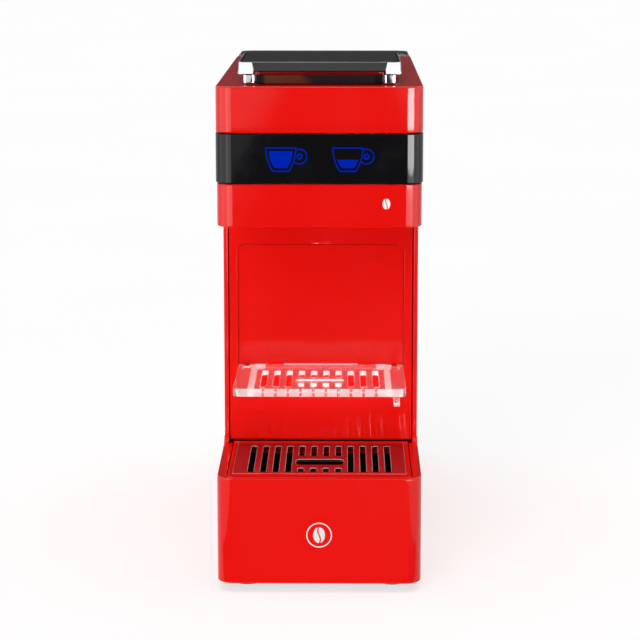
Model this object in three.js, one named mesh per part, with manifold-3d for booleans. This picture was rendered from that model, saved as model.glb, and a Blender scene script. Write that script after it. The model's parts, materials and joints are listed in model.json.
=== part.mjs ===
// Slim pod coffee machine: C-shaped housing, drip tray drawer, used-capsule drawer with a fold-up cup
// shelf, closing lever over a capsule slot, rear water tank. Millimetres, +Z up.
// Inside the group "machine", y is the distance behind the base's front face and z the height above
// the table; the exported group puts the origin under the middle of the whole.
import * as THREE from "three";
import { mergeVertices } from "three/addons/utils/BufferGeometryUtils.js";
import Module from "manifold-3d";

const wasm = await Module();
wasm.setup();

// ---- driving dimensions ----
const bodyWidth = 100;
const overallDepth = 290;
const bodyTop = 248;
const baseTop = 57.8; // upper edge of the drip tray drawer
const bodyBottom = 4.6; // lower edge of every outer wall
const wall = 2.4;
const cornerRadius = 8;
const fit = 0.4; // gap between pieces that are fitted together
const slip = 0.3; // gap round pins and between touching pieces

const headSetback = 8; // the head's front face behind the base's
const cupBayDepth = 77.5; // base front to the column's front edges
const headHeight = 67.8; // underside of the head to its top
const bandHeight = 24.5;
const bandDrop = 22.3; // body top to the upper edge of the band
const bandProud = 0.1;
const lowerCoverInset = 0.4;

const tankDepth = 52.6;
const tankWall = 2;
const lidThickness = 3.8;
const fillMouthSetback = 12; // fixed strip of the tank's top in front of its lid

const gridHalfWidth = 43;
const gridThickness = 1.2;
const gridFront = 10.4;
const slotPitch = 6.2;
const slotWidth = 2.9;

const shelfHalfWidth = 42.5;
const shelfReach = 61.6; // hinge axis to front edge
const shelfThickness = 4;
const shelfTopHeight = 99.4;
const shelfSlotWidth = 3;
const recessDepth = 1.2;

const leverHalfWidth = 39.4;
const leverReach = 81.4; // pivot to front lip
const leverOverhang = 4.6; // lever's rear edge behind its pivot
const leverHeight = 10.5; // lever's top above the body's top

const brewRadius = 23;
const brewAxisDrop = 36; // body top to the brewing axis
const capsuleLength = 32;
const pistonLength = 34;
const pistonStroke = 16;

// ---- derived places ----
const half = bodyWidth / 2;
const inner = half - wall;
const headBottom = bodyTop - headHeight;
const bandTop = bodyTop - bandDrop;
const bandBottom = bandTop - bandHeight;
const coverRear = overallDepth - tankDepth - fit;
const panFloor = bodyBottom + slip;
const panThickness = 3;
const panTop = panFloor + panThickness;
const panelFront = cupBayDepth + 1;
const panelThickness = 3.6;
const panelBottom = baseTop + 1.4;
const panelTop = headBottom - 3.4;
const brewAxis = bodyTop - brewAxisDrop;
const frameFloor = brewAxis - brewRadius - 5;
const dockRear = overallDepth - 3;
const dockTop = 30;

// ---- materials ----
const paint = (color, roughness, metalness = 0) =>
  new THREE.MeshStandardMaterial({ color, roughness, metalness });
const finish = {
  red: paint(0xe3180f, 0.22),
  blackGloss: paint(0x0c0c0d, 0.08),
  chrome: paint(0xd8dadd, 0.08, 1),
  steel: paint(0xa9a4a6, 0.25, 1),
  clear: paint(0xf4f6f8, 0.05),
  smoke: paint(0x3a4350, 0.1),
  darkPlastic: paint(0x26282b, 0.5),
  rubber: paint(0x151515, 0.85),
  board: paint(0x1f5a35, 0.6),
  brass: paint(0xb58a3c, 0.35, 1),
  alloy: paint(0xb4b7ba, 0.4, 1),
};

// ---- solids from three.js geometry ----
function solid(geometry) {
  const bare = new THREE.BufferGeometry();
  bare.setAttribute("position", geometry.getAttribute("position"));
  if (geometry.index) bare.setIndex(geometry.index);
  const merged = mergeVertices(bare, 1e-4);
  return new wasm.Manifold(
    new wasm.Mesh({
      numProp: 3,
      vertProperties: merged.attributes.position.array,
      triVerts: new Uint32Array(merged.index.array),
    }),
  );
}

const box = (x0, x1, y0, y1, z0, z1) =>
  solid(
    new THREE.BoxGeometry(x1 - x0, y1 - y0, z1 - z0).translate(
      (x0 + x1) / 2,
      (y0 + y1) / 2,
      (z0 + z1) / 2,
    ),
  );

function extruded(shape, depth, basis, curveSegments) {
  const geometry = new THREE.ExtrudeGeometry(shape, { depth, bevelEnabled: false, curveSegments });
  return solid(geometry.applyMatrix4(basis));
}

const axisX = new THREE.Vector3(1, 0, 0);
const axisY = new THREE.Vector3(0, 1, 0);
const axisZ = new THREE.Vector3(0, 0, 1);

// A shape drawn in x, y and raised from z0 to z1.
const upright = (shape, z0, z1, segments = 3) =>
  extruded(shape, z1 - z0, new THREE.Matrix4().makeTranslation(0, 0, z0), segments);

// A shape drawn in y, z and run from x0 to x1.
const across = (shape, x0, x1, segments = 3) =>
  extruded(
    shape,
    x1 - x0,
    new THREE.Matrix4().makeBasis(axisY, axisZ, axisX).setPosition(x0, 0, 0),
    segments,
  );

// A shape drawn in x, z and run from y0 to y1.
const fore = (shape, y0, y1, segments = 3) =>
  extruded(
    shape,
    y1 - y0,
    new THREE.Matrix4().makeBasis(axisX, axisZ, axisY.clone().negate()).setPosition(0, y1, 0),
    segments,
  );

const polygon = (points) => new THREE.Shape(points.map(([u, v]) => new THREE.Vector2(u, v)));

// A rectangle with its own radius at each corner, counter-clockwise from the low corner.
function roundRect(u0, u1, v0, v1, radii, Kind = THREE.Shape) {
  const [a, b, c, d] = Array.isArray(radii) ? radii : [radii, radii, radii, radii];
  const path = new Kind();
  path.moveTo(u0 + a, v0);
  path.lineTo(u1 - b, v0);
  if (b) path.absarc(u1 - b, v0 + b, b, -Math.PI / 2, 0);
  path.lineTo(u1, v1 - c);
  if (c) path.absarc(u1 - c, v1 - c, c, 0, Math.PI / 2);
  path.lineTo(u0 + d, v1);
  if (d) path.absarc(u0 + d, v1 - d, d, Math.PI / 2, Math.PI);
  path.lineTo(u0, v0 + a);
  if (a) path.absarc(u0 + a, v0 + a, a, Math.PI, Math.PI * 1.5);
  return path;
}

// Plan outline of a housing piece: frontR rounds its two front corners, rearR its two rear ones.
const plan = (halfWidth, y0, y1, frontR, rearR = 0) =>
  roundRect(-halfWidth, halfWidth, y0, y1, [frontR, frontR, rearR, rearR]);

// A turned solid about a line along x, y or z, from a closed or axis-to-axis profile of [radius, distance].
function turned(profile, axis, centre, segments = 28) {
  const points = profile.map(([r, h]) => new THREE.Vector2(r, h));
  const lathe = new THREE.LatheGeometry(points, segments);
  if (axis === "x") lathe.rotateZ(-Math.PI / 2);
  if (axis === "z") lathe.rotateX(Math.PI / 2);
  return solid(lathe.translate(...centre));
}

const rod = (axis, radius, from, to, centre, segments = 24) =>
  turned([[0, from], [radius, from], [radius, to], [0, to]], axis, centre, segments);

const join = (...solids) => solids.reduce((a, b) => a.add(b));
const cut = (base, ...tools) => tools.reduce((a, b) => a.subtract(b), base);

// ---- the assembly ----
const machine = new THREE.Group();
machine.position.y = -overallDepth / 2;

function place(name, made, material, parent = machine) {
  const raw = made.getMesh();
  const geometry = new THREE.BufferGeometry();
  const positions = new Float32Array(raw.numVert * 3);
  for (let i = 0; i < raw.numVert; i++) {
    positions.set(raw.vertProperties.subarray(i * raw.numProp, i * raw.numProp + 3), i * 3);
  }
  geometry.setAttribute("position", new THREE.BufferAttribute(positions, 3));
  geometry.setIndex(new THREE.BufferAttribute(raw.triVerts, 1));
  const flat = geometry.toNonIndexed();
  flat.computeVertexNormals();
  const mesh = new THREE.Mesh(flat, material);
  mesh.name = name;
  parent.add(mesh);
}

// ---- base pan, feet and its screws ----
const footSpots = [
  ["front_left", -36, 22],
  ["front_right", 36, 22],
  ["rear_left", -36, overallDepth - 22],
  ["rear_right", 36, overallDepth - 22],
];
const footStem = 3;
const screwInset = 8; // screw axis inside the outer wall
const screwShank = 1.4;
const screwHead = 3.2; // head's height above the table
const bossRadius = 3.8;
const bossHeight = 11;
const ventWidth = 3;
const screwSpots = [
  ["front_left", -1, cupBayDepth + 16],
  ["front_right", 1, cupBayDepth + 16],
  ["rear_left", -1, coverRear - 14],
  ["rear_right", 1, coverRear - 14],
];
const screwX = half - screwInset;

function basePan() {
  const outline = plan(inner - fit, wall + 1.2, dockRear - wall - 0.6, cornerRadius - wall, 5);
  const plate = upright(outline, panFloor, panTop);
  const footHoles = footSpots.map(([, x, y]) =>
    rod("z", footStem + slip, 0, panTop + 1, [x, y, 0], 16),
  );
  const screwHoles = screwSpots.map(([, side, y]) =>
    rod("z", screwShank + slip, 0, panTop + 1, [side * screwX, y, 0], 12),
  );
  const vents = [0, 1, 2, 3, 4].map((i) => {
    const y = cupBayDepth + 44 + i * 8;
    return box(-14, 14, y, y + ventWidth, 0, panTop + 1);
  });
  return cut(plate, ...footHoles, ...screwHoles, ...vents);
}

const foot = (x, y) =>
  turned(
    [
      [0, 0],
      [7.4, 0],
      [8, 0.8],
      [7.2, panFloor - slip],
      [footStem, panFloor - slip],
      [footStem, panTop],
      [0, panTop],
    ],
    "z",
    [x, y, 0],
    20,
  );

const panScrew = (side, y) =>
  turned(
    [
      [0, screwHead],
      [2.4, screwHead],
      [3, screwHead + 0.6],
      [3, panFloor - slip],
      [screwShank, panFloor - slip],
      [screwShank, panTop + 8],
      [0, panTop + 8],
    ],
    "z",
    [side * screwX, y, 0],
    14,
  );

// ---- drip tray drawer ----
const drawerHalf = half + 0.2;
const drawerWall = 4.6;
const drawerRear = cupBayDepth - fit;
const riseRun = 7; // curve that lifts each side wall's rim to the column
const riseHeight = 5.5;
const riseWidth = 2.4;
const tubHalf = drawerHalf - drawerWall - slip;
const tubFront = wall + slip;
const tubRear = drawerRear - 0.6;
const tubFloor = 13;
const gridRear = tubRear - 1;

function trayHousing() {
  const block = upright(plan(drawerHalf, 0, drawerRear, cornerRadius), bodyBottom, baseTop, 5);
  const pocket = upright(
    plan(tubHalf + slip, wall, drawerRear + 1, cornerRadius - drawerWall),
    tubFloor - slip,
    baseTop + 1,
  );
  const panRoom = upright(
    plan(inner, wall + 0.6, drawerRear + 1, cornerRadius - wall),
    bodyBottom - 1,
    panTop + slip,
  );
  const rise = new THREE.Shape();
  rise.moveTo(drawerRear - riseRun, baseTop - 1);
  rise.lineTo(drawerRear, baseTop - 1);
  rise.lineTo(drawerRear, baseTop + riseHeight);
  rise.quadraticCurveTo(drawerRear, baseTop, drawerRear - riseRun, baseTop);
  const webs = [-1, 1].map((side) => {
    const middle = side * (drawerHalf - riseWidth / 2);
    return across(rise, middle - riseWidth / 2, middle + riseWidth / 2, 4);
  });
  return cut(join(block, ...webs), pocket, panRoom);
}

function dripTub() {
  const outer = upright(
    plan(tubHalf, tubFront, tubRear, cornerRadius - drawerWall - slip),
    tubFloor,
    baseTop,
  );
  const rearLip = box(-tubHalf, tubHalf, tubRear - 1.4, tubRear, baseTop - 2, baseTop + 0.9);
  const seat = box(
    -gridHalfWidth - slip,
    gridHalfWidth + slip,
    gridFront - slip,
    gridRear + slip,
    baseTop - gridThickness - slip,
    baseTop + 2,
  );
  const basin = upright(
    plan(gridHalfWidth - 1.6, gridFront + 1.6, gridRear - 1.6, 3, 3),
    tubFloor + 2,
    baseTop + 2,
    3,
  );
  return cut(join(outer, rearLip), seat, basin);
}

// The hole pattern shared by the grid and the shelf: full columns outside, the middle four broken by a
// wide slot. rows = { full, rear, wide, front }, each [y0, y1].
function slotHoles(columns, width, wideHalf, rows) {
  const holes = [];
  const slotAt = (x, [y0, y1]) =>
    holes.push(roundRect(x - width / 2, x + width / 2, y0, y1, width / 2 - 0.01, THREE.Path));
  for (let i = 0; i < columns; i++) {
    const x = (i - (columns - 1) / 2) * slotPitch;
    if (Math.abs(x) > 2 * slotPitch) {
      slotAt(x, rows.full);
    } else {
      slotAt(x, rows.rear);
      slotAt(x, rows.front);
    }
  }
  const [w0, w1] = rows.wide;
  holes.push(roundRect(-wideHalf, wideHalf, w0, w1, (w1 - w0) / 2 - 0.01, THREE.Path));
  return holes;
}

function dripGrid() {
  const plate = plan(gridHalfWidth, gridFront, gridRear, 0.8, 0.8);
  const back = gridRear - 6.5;
  const front = gridFront + 3.5;
  plate.holes = slotHoles(12, slotWidth, 12.2, {
    full: [front, back],
    rear: [front + 33.8, back],
    wide: [front + 15.2, front + 26.6],
    front: [front + 0.5, front + 8.2],
  });
  return upright(plate, baseTop - gridThickness, baseTop, 1);
}

// ---- column: side covers, rear cover, bay for the capsule bin ----
function sideCover(side) {
  const sheet = box(inner, half, cupBayDepth, coverRear - fit, bodyBottom, bandTop - fit);
  const bosses = screwSpots
    .filter(([, s]) => s === side)
    .flatMap(([, , y]) => [
      rod("z", bossRadius, panTop + fit, panTop + bossHeight, [screwX, y, 0], 16),
      box(screwX, inner + 0.1, y - 1.2, y + 1.2, panTop + fit, panTop + bossHeight),
    ]);
  const holes = screwSpots
    .filter(([, s]) => s === side)
    .map(([, , y]) => rod("z", screwShank + slip, 0, panTop + bossHeight - 2, [screwX, y, 0], 12));
  const cover = cut(join(sheet, ...bosses), ...holes);
  return side > 0 ? cover : cover.mirror([1, 0, 0]);
}

const hoseRadius = 3;
const hosePort = { x: 0, z: 19 };

function rearCover() {
  const sheet = box(
    -inner + fit,
    inner - fit,
    coverRear - fit - wall,
    coverRear - fit,
    panTop + fit,
    bandTop - fit,
  );
  const port = rod("y", hoseRadius + 1, coverRear - 10, coverRear + 10, [hosePort.x, 0, hosePort.z], 16);
  const vents = [0, 1, 2, 3, 4].map((i) => {
    const z = bandBottom - 52 + i * 9;
    return box(-20, 20, coverRear - 10, coverRear + 10, z, z + ventWidth);
  });
  return cut(sheet, port, ...vents);
}

const bayRear = panelFront + 86;
const bayFloor = baseTop + fit;
const bayWall = 1.4;

function binBay() {
  const halfBay = inner - fit;
  const top = frameFloor - slip;
  const shell = box(-halfBay, halfBay, panelFront, bayRear, bayFloor, top);
  const room = box(
    -halfBay + bayWall,
    halfBay - bayWall,
    panelFront - 1,
    bayRear - bayWall,
    bayFloor + bayWall,
    top + 1,
  );
  const panelRoom = box(-half, half, panelFront - 1, panelFront + panelThickness + fit, 0, panelTop + slip);
  const lintel = box(-halfBay, halfBay, panelFront, panelFront + panelThickness, panelTop + 0.6, top);
  return join(cut(shell, room, panelRoom), lintel);
}

// ---- capsule drawer ----
const shelfAxisZ = shelfTopHeight - shelfThickness / 2;
const recessFloor = panelFront + recessDepth;
const shelfAxisY = recessFloor - 2.9;
const lugX = 38;
const lugHalf = 1.2;
const lugRadius = 2;
const pinRadius = 1;
const ribX = 34;

function drawerFront() {
  const halfPanel = inner - fit;
  const panel = box(-halfPanel, halfPanel, panelFront, panelFront + panelThickness, panelBottom, panelTop);
  const recessTop = shelfAxisZ + shelfReach + 3;
  const recess = fore(
    roundRect(-shelfHalfWidth - fit, shelfHalfWidth + fit, shelfAxisZ - 2.7, recessTop, [1, 1, 4, 4]),
    panelFront - 1,
    recessFloor,
  );
  const scoop = turned([[0, 0], [4.4, 0], [5.4, 3], [0, 3]], "y", [0, recessFloor - 1.6, recessTop], 20);
  const lugs = [-1, 1].map((side) => {
    const arm = roundRect(
      shelfAxisY - lugRadius,
      recessFloor + 0.5,
      shelfAxisZ - lugRadius,
      shelfAxisZ + lugRadius,
      [1.9, 0, 0, 1.9],
    );
    const x = side * lugX;
    const bore = rod("x", pinRadius + slip, x - 4, x + 4, [0, shelfAxisY, shelfAxisZ], 12);
    return cut(across(arm, x - lugHalf, x + lugHalf), bore);
  });
  return join(cut(panel, recess, scoop), ...lugs);
}

const binHalf = inner - fit - bayWall - 1;
const binFront = panelFront + panelThickness + fit;
const binRear = bayRear - bayWall - 2;
const binHeight = 90;
const binWall = 1.8;

function capsuleBin() {
  const floor = bayFloor + bayWall + fit;
  const outer = upright(plan(binHalf, binFront, binRear, 4, 4), floor, floor + binHeight);
  const inside = upright(
    plan(binHalf - binWall, binFront + binWall, binRear - binWall, 3, 3),
    floor + binWall,
    floor + binHeight + 1,
  );
  return cut(outer, inside);
}

function cupShelf() {
  const front = shelfAxisY - shelfReach;
  const bottom = shelfTopHeight - shelfThickness;
  const slabThickness = 2.6;
  const outline = plan(shelfHalfWidth, front, shelfAxisY, 3);
  const first = front + 5.8;
  outline.holes = slotHoles(10, shelfSlotWidth, 12.2, {
    full: [first, first + 39.6],
    rear: [first + 23, first + 39.6],
    wide: [first + 13.4, first + 18.6],
    front: [first, first + 9],
  });
  const slab = upright(outline, shelfTopHeight - slabThickness, shelfTopHeight, 1);
  const skirt = cut(
    upright(plan(shelfHalfWidth, front, shelfAxisY, 3), bottom, shelfTopHeight - slabThickness + 0.1, 3),
    upright(plan(shelfHalfWidth - 2, front + 2, shelfAxisY - 4, 1.5, 0.5), bottom - 1, shelfTopHeight),
  );
  const ribs = [-ribX, ribX].map((x) =>
    box(x - 1.5, x + 1.5, front + 1, shelfAxisY - 3, bottom, shelfTopHeight - 2),
  );
  const axis = [0, shelfAxisY, shelfAxisZ];
  const heel = rod("x", shelfThickness / 2, -shelfHalfWidth, shelfHalfWidth, axis, 20);
  const ridge = box(-19, 19, shelfAxisY - 1, shelfAxisY + 0.8, shelfTopHeight - 1, shelfTopHeight + 0.4);
  const pull = across(
    roundRect(front + 0.4, front + 15, bottom - 5.2, bottom + 0.5, [1.5, 4, 0, 0]),
    lugX - 1.5,
    lugX + 1.5,
  );
  const notchHalf = lugHalf + fit;
  const notches = [-lugX, lugX].map((x) =>
    box(x - notchHalf, x + notchHalf, shelfAxisY - 5.4, shelfAxisY + 5, bottom - 2, shelfTopHeight + 2),
  );
  const bores = [-lugX, lugX].map((x) => rod("x", pinRadius + slip, x - 4.4, x + 4.4, axis, 12));
  return cut(join(slab, skirt, heel, ridge, ...ribs, pull), ...notches, ...bores);
}

const shelfPin = (side) =>
  rod("x", pinRadius, side * lugX - 4, side * lugX + 4, [0, shelfAxisY, shelfAxisZ], 12);

// ---- head: top cover, band, lower cover ----
const slotHalf = 24; // capsule slot
const collarHalf = 31;
const collarFront = 29;
const collarHeight = 5.8;
const lipFront = headSetback + 10;
const leverPivotY = lipFront + leverReach;
const leverPivotZ = bodyTop + 5.2;
const leverPinRadius = 1.1;
const leverLugX = 33.6;
const slotFront = leverPivotY - 47;
const slotRear = leverPivotY - 9;

function topCover() {
  const outline = (inset) =>
    plan(half - inset, headSetback + inset, coverRear - inset, cornerRadius - inset, inset ? 0 : 1);
  const shell = cut(
    upright(outline(0), bandTop, bodyTop, 5),
    upright(outline(wall), bandTop - 1, bodyTop - wall, 5),
  );
  const collar = upright(
    plan(collarHalf, collarFront, slotRear + 3, 2, 2),
    bodyTop - 0.5,
    bodyTop + collarHeight,
    3,
  );
  const underCollar = box(
    -collarHalf + wall,
    collarHalf - wall,
    collarFront + wall,
    slotRear + 3 - wall,
    bodyTop - wall - 1,
    bodyTop + collarHeight - wall,
  );
  const slot = box(-slotHalf, slotHalf, slotFront, slotRear, bodyTop - 10, bodyTop + 10);
  const lugs = [-1, 1].map((side) => {
    const x = side * leverLugX;
    const post = box(x - 1.8, x + 1.8, leverPivotY - 5.6, leverPivotY, bodyTop - 0.5, leverPivotZ);
    const eye = rod("x", leverPinRadius + 1.2, x - 1.8, x + 1.8, [0, leverPivotY, leverPivotZ], 20);
    const bore = rod("x", leverPinRadius + slip, x - 3, x + 3, [0, leverPivotY, leverPivotZ], 16);
    return cut(join(post, eye), bore);
  });
  return join(cut(join(shell, collar), underCollar, slot), ...lugs);
}

function touchPanel() {
  const front = headSetback - bandProud;
  const thickness = 2.2;
  const ring = (inset) =>
    plan(
      half + bandProud - inset,
      front + inset,
      cupBayDepth - fit + (inset ? 5 : 0),
      cornerRadius - inset,
    );
  const low = bandBottom + slip;
  const high = bandTop - slip;
  return cut(upright(ring(0), low, high, 5), upright(ring(thickness), low - 1, high + 1, 7));
}

const spoutY = headSetback + 30;

function headLowerCover() {
  const ring = (inset) =>
    plan(
      half - lowerCoverInset - inset,
      headSetback + lowerCoverInset + inset,
      cupBayDepth - fit + (inset ? 5 : 0),
      cornerRadius - inset,
    );
  const shell = cut(
    upright(ring(0), headBottom, bandBottom, 5),
    upright(ring(wall), headBottom + wall, bandBottom + 1, 5),
  );
  return cut(shell, rod("z", 9, headBottom - 5, headBottom + 10, [0, spoutY, 0], 24));
}

// ---- lever with its rests ----
const leverTop = bodyTop + leverHeight;
const leverRear = leverPivotY + leverOverhang;
const leverBottom = bodyTop + 5.2;
const lipSlant = 8;
const plateHalf = leverHalfWidth - 1.2;
const plateThickness = 1.4;
const gripHalf = 32;

function leverBlock() {
  const profile = polygon([
    [lipFront, leverBottom],
    [leverRear, leverBottom],
    [leverRear, leverTop],
    [lipFront + lipSlant, leverTop],
  ]);
  const block = across(profile, -leverHalfWidth, leverHalfWidth);
  const outline = plan(leverHalfWidth, lipFront, leverRear, 3, 4);
  return block.intersect(upright(outline, leverBottom - 1, leverTop + 1));
}

// The black insert's region, grown by `grow` when it is cut out of the frame.
function insertRegion(grow) {
  const slope = lipSlant / (leverTop - leverBottom);
  const gripBottom = leverBottom + 1.8 - grow;
  const frontAt = (z) => lipFront + (z - leverBottom) * slope;
  const top = upright(
    plan(plateHalf + grow, lipFront + lipSlant + 0.2 - grow, leverRear - 1 + grow, 1.5, 3),
    leverTop - plateThickness - grow,
    leverTop + (grow ? 2 : 0),
    4,
  );
  const grip = across(
    polygon([
      [frontAt(gripBottom) - (grow ? 2 : 0), gripBottom],
      [frontAt(gripBottom) + 2.1 + grow, gripBottom],
      [frontAt(leverTop - plateThickness) + 2.1 + grow, leverTop - plateThickness - grow],
      [frontAt(leverTop) + 4, leverTop - plateThickness - grow],
      [frontAt(leverTop) + 4, leverTop],
      [frontAt(leverTop) - (grow ? 2 : 0), leverTop],
    ]),
    -gripHalf - grow,
    gripHalf + grow,
  );
  return join(top, grip);
}

function leverFrame() {
  const room = upright(
    plan(leverHalfWidth - 2.8, lipFront + 10, leverRear - 1.8, 1, 2),
    bodyTop,
    leverTop - 2.7,
  );
  const fingerGap = box(-gripHalf, gripHalf, lipFront - 5, lipFront + 11, bodyTop, leverBottom + 1.8);
  const ears = [-1, 1].map((side) => {
    const x = side * (leverHalfWidth - 1.4);
    return rod("x", 3.4, x - 1.4, x + 1.4, [0, leverPivotY, leverPivotZ], 20);
  });
  const bore = rod(
    "x",
    leverPinRadius + slip,
    -leverHalfWidth - 1,
    leverHalfWidth + 1,
    [0, leverPivotY, leverPivotZ],
    16,
  );
  return cut(join(cut(leverBlock(), room, fingerGap), ...ears), insertRegion(slip), bore);
}

const leverInsert = () => insertRegion(0).intersect(leverBlock());

const leverPin = () =>
  rod("x", leverPinRadius, -leverHalfWidth + 0.4, leverHalfWidth - 0.4, [0, leverPivotY, leverPivotZ], 16);

const restFront = headSetback + 12.4;
const restFloor = bodyTop + fit;

const leverRest = (side) => {
  const middle = side * 33.9;
  return upright(
    roundRect(middle - 2.8, middle + 2.8, restFront, restFront + 7, 1.2),
    restFloor,
    leverBottom - fit,
    3,
  );
};

const frontWindow = () => box(-30.8, 30.8, restFront + 0.2, restFront + 4.6, restFloor, bodyTop + 4.6);

// ---- brewing group ----
const brewHeadFront = headSetback + 20;
const brewHeadRear = leverPivotY - 44;
const pistonFront = brewHeadRear + capsuleLength;
const frameFront = brewHeadFront - 3.4;
const frameRear = pistonFront + pistonLength + pistonStroke + 4;

function brewFrame() {
  const cheekTop = brewAxis + 26;
  const floor = box(-33, 33, frameFront, frameRear, frameFloor, frameFloor + 2.6);
  const cheeks = [-1, 1].map((side) =>
    box(side > 0 ? 30 : -33, side > 0 ? 33 : -30, frameFront, frameRear, frameFloor, cheekTop),
  );
  const endWall = box(-33, 33, frameFront, frameFront + 3, frameFloor, cheekTop);
  const drop = box(-slotHalf, slotHalf, brewHeadRear + 2, panelFront + 21, frameFloor - 5, frameFloor + 10);
  const spoutHole = rod("z", 8, frameFloor - 5, frameFloor + 5, [0, spoutY, 0], 20);
  return cut(join(floor, ...cheeks, endWall), drop, spoutHole);
}

const brewHead = () =>
  turned(
    [
      [0, brewHeadFront],
      [brewRadius - 5, brewHeadFront],
      [brewRadius - 5, brewHeadFront + 8],
      [brewRadius, brewHeadFront + 10],
      [brewRadius, brewHeadRear],
      [brewRadius - 4, brewHeadRear],
      [brewRadius - 6, brewHeadRear - 5],
      [0, brewHeadRear - 5],
    ],
    "y",
    [0, 0, brewAxis],
  );

const sealGroove = 4; // behind the piston's face

const brewPiston = () =>
  turned(
    [
      [0, pistonFront],
      [brewRadius - 2, pistonFront],
      [brewRadius - 2, pistonFront + sealGroove],
      [brewRadius - 4, pistonFront + sealGroove],
      [brewRadius - 4, pistonFront + sealGroove + 3.6],
      [brewRadius - 2, pistonFront + sealGroove + 3.6],
      [brewRadius - 2, pistonFront + 18],
      [7, pistonFront + 18],
      [7, pistonFront + pistonLength],
      [0, pistonFront + pistonLength],
    ],
    "y",
    [0, 0, brewAxis],
  );

function pistonSeal() {
  const ring = Array.from({ length: 8 }, (_, i) => {
    const turn = (i / 8) * Math.PI * 2;
    return [brewRadius - 2 + 1.5 * Math.cos(turn), pistonFront + sealGroove + 1.8 + 1.4 * Math.sin(turn)];
  });
  return turned([...ring, ring[0]], "y", [0, 0, brewAxis]);
}

function capsuleChute() {
  const high = [brewHeadRear + 4, frameFloor + 14];
  const low = [panelFront + 14, frameFloor + 0.6];
  const drop = 1.7;
  return across(
    polygon([high, [high[0], high[1] - drop], [low[0], low[1] - drop], low]),
    -slotHalf + 1,
    slotHalf - 1,
  );
}

const coffeeSpout = () =>
  turned(
    [
      [0, headBottom - 1.6],
      [4.6, headBottom - 1.6],
      [6.4, headBottom + 1],
      [6.4, brewAxis - brewRadius - 0.5],
      [0, brewAxis - brewRadius - 0.5],
    ],
    "z",
    [0, spoutY, 0],
  );

// ---- pump, heater, electronics ----
const pumpX = -14;
const pumpZ = 34;
const pumpRear = coverRear - 64;
const pumpLength = 76;
const pumpFront = pumpRear - pumpLength;

const pumpBarrel = () =>
  turned(
    [
      [0, pumpFront],
      [4, pumpFront],
      [4, pumpFront + 10],
      [11, pumpFront + 10],
      [11, pumpFront + 22],
      [13, pumpFront + 22],
      [13, pumpRear - 14],
      [9, pumpRear - 12],
      [9, pumpRear - 4],
      [4, pumpRear - 4],
      [4, pumpRear],
      [0, pumpRear],
    ],
    "y",
    [pumpX, 0, pumpZ],
    24,
  );

const pumpCoil = () =>
  cut(
    box(pumpX - 21, pumpX + 21, pumpFront + 24, pumpFront + 58, pumpZ - 18, pumpZ + 18),
    rod("y", 13 + slip, pumpFront, pumpRear, [pumpX, 0, pumpZ]),
  );

function pumpMount(y) {
  const pad = roundRect(pumpX - 16, pumpX + 16, panTop + slip, pumpZ + 16, [1, 1, 14, 14]);
  return cut(fore(pad, y, y + 5), rod("y", 11 + slip, pumpFront, pumpRear, [pumpX, 0, pumpZ], 24));
}

const rearMount = () => {
  const y = pumpRear - 11;
  const pad = roundRect(pumpX - 14, pumpX + 14, panTop + slip, pumpZ + 14, [1, 1, 12, 12]);
  return cut(fore(pad, y, y + 5), rod("y", 9 + slip, pumpFront, pumpRear, [pumpX, 0, pumpZ], 24));
};

const meterSpot = { x: 26, y: coverRear - 26 };
const flowMeter = () =>
  turned(
    [[0, panTop + fit], [12, panTop + fit], [12, panTop + 12], [9, panTop + 16], [0, panTop + 16]],
    "z",
    [meterSpot.x, meterSpot.y, 0],
    24,
  );

const shelfPlateZ = headBottom - 1.6;
const heaterRear = coverRear - 12;
const heaterFront = bayRear + 5.5;
const chassisShelf = () =>
  cut(
    box(
      -inner + fit,
      inner - fit,
      bayRear + 2,
      coverRear - wall - 2 * fit,
      shelfPlateZ,
      shelfPlateZ + wall,
    ),
    rod("z", hoseRadius + 1, 0, bodyTop, [-38, heaterRear - 20, 0], 16),
  );

function thermoblock() {
  const low = shelfPlateZ + wall + fit;
  const block = box(-28, 28, heaterFront, heaterRear, low, low + 30);
  const inlet = rod("x", hoseRadius + 0.8, -31, -27, [0, heaterRear - 20, low + 15], 16);
  const outlet = rod("y", hoseRadius + 0.8, heaterFront - 3, heaterFront + 1, [0, 0, low + 15], 16);
  return join(block, inlet, outlet);
}

function controlBoard() {
  const boardX = inner - 10;
  const y0 = bayRear + 8;
  const y1 = coverRear - 12;
  const sheet = box(boardX, boardX + 1.6, y0, y1, 62, 160);
  const relay = box(boardX - 12, boardX + 0.2, y0 + 6, y0 + 22, 70, 88);
  const heatSink = box(boardX - 8, boardX + 0.2, y0 + 6, y1 - 8, 100, 112);
  const capacitor = rod("x", 7, boardX - 15, boardX + 0.2, [0, y0 + 20, 136], 20);
  return join(sheet, relay, heatSink, capacitor);
}

const touchBoard = () => {
  const y = headSetback + 4;
  const middle = (bandTop + bandBottom) / 2;
  const sheet = box(-34, 34, y, y + 1.6, middle - 9, middle + 9);
  const lamps = [-16, 16].map((x) => box(x - 9, x + 9, y - 1.2, y + 0.2, middle - 6, middle + 6));
  return join(sheet, ...lamps);
};

// A hose of one closed solid along a smooth curve through the points.
function hose(points, radius = hoseRadius, steps = 24) {
  const route = new THREE.CatmullRomCurve3(points.map((p) => new THREE.Vector3(...p)));
  const section = new THREE.Shape().absarc(0, 0, radius, 0, Math.PI * 2);
  return solid(
    new THREE.ExtrudeGeometry(section, {
      extrudePath: route,
      steps,
      curveSegments: 4,
      bevelEnabled: false,
    }),
  );
}

const meterTop = panTop + 16 + fit;
const heaterMid = shelfPlateZ + wall + fit + 15;

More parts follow.
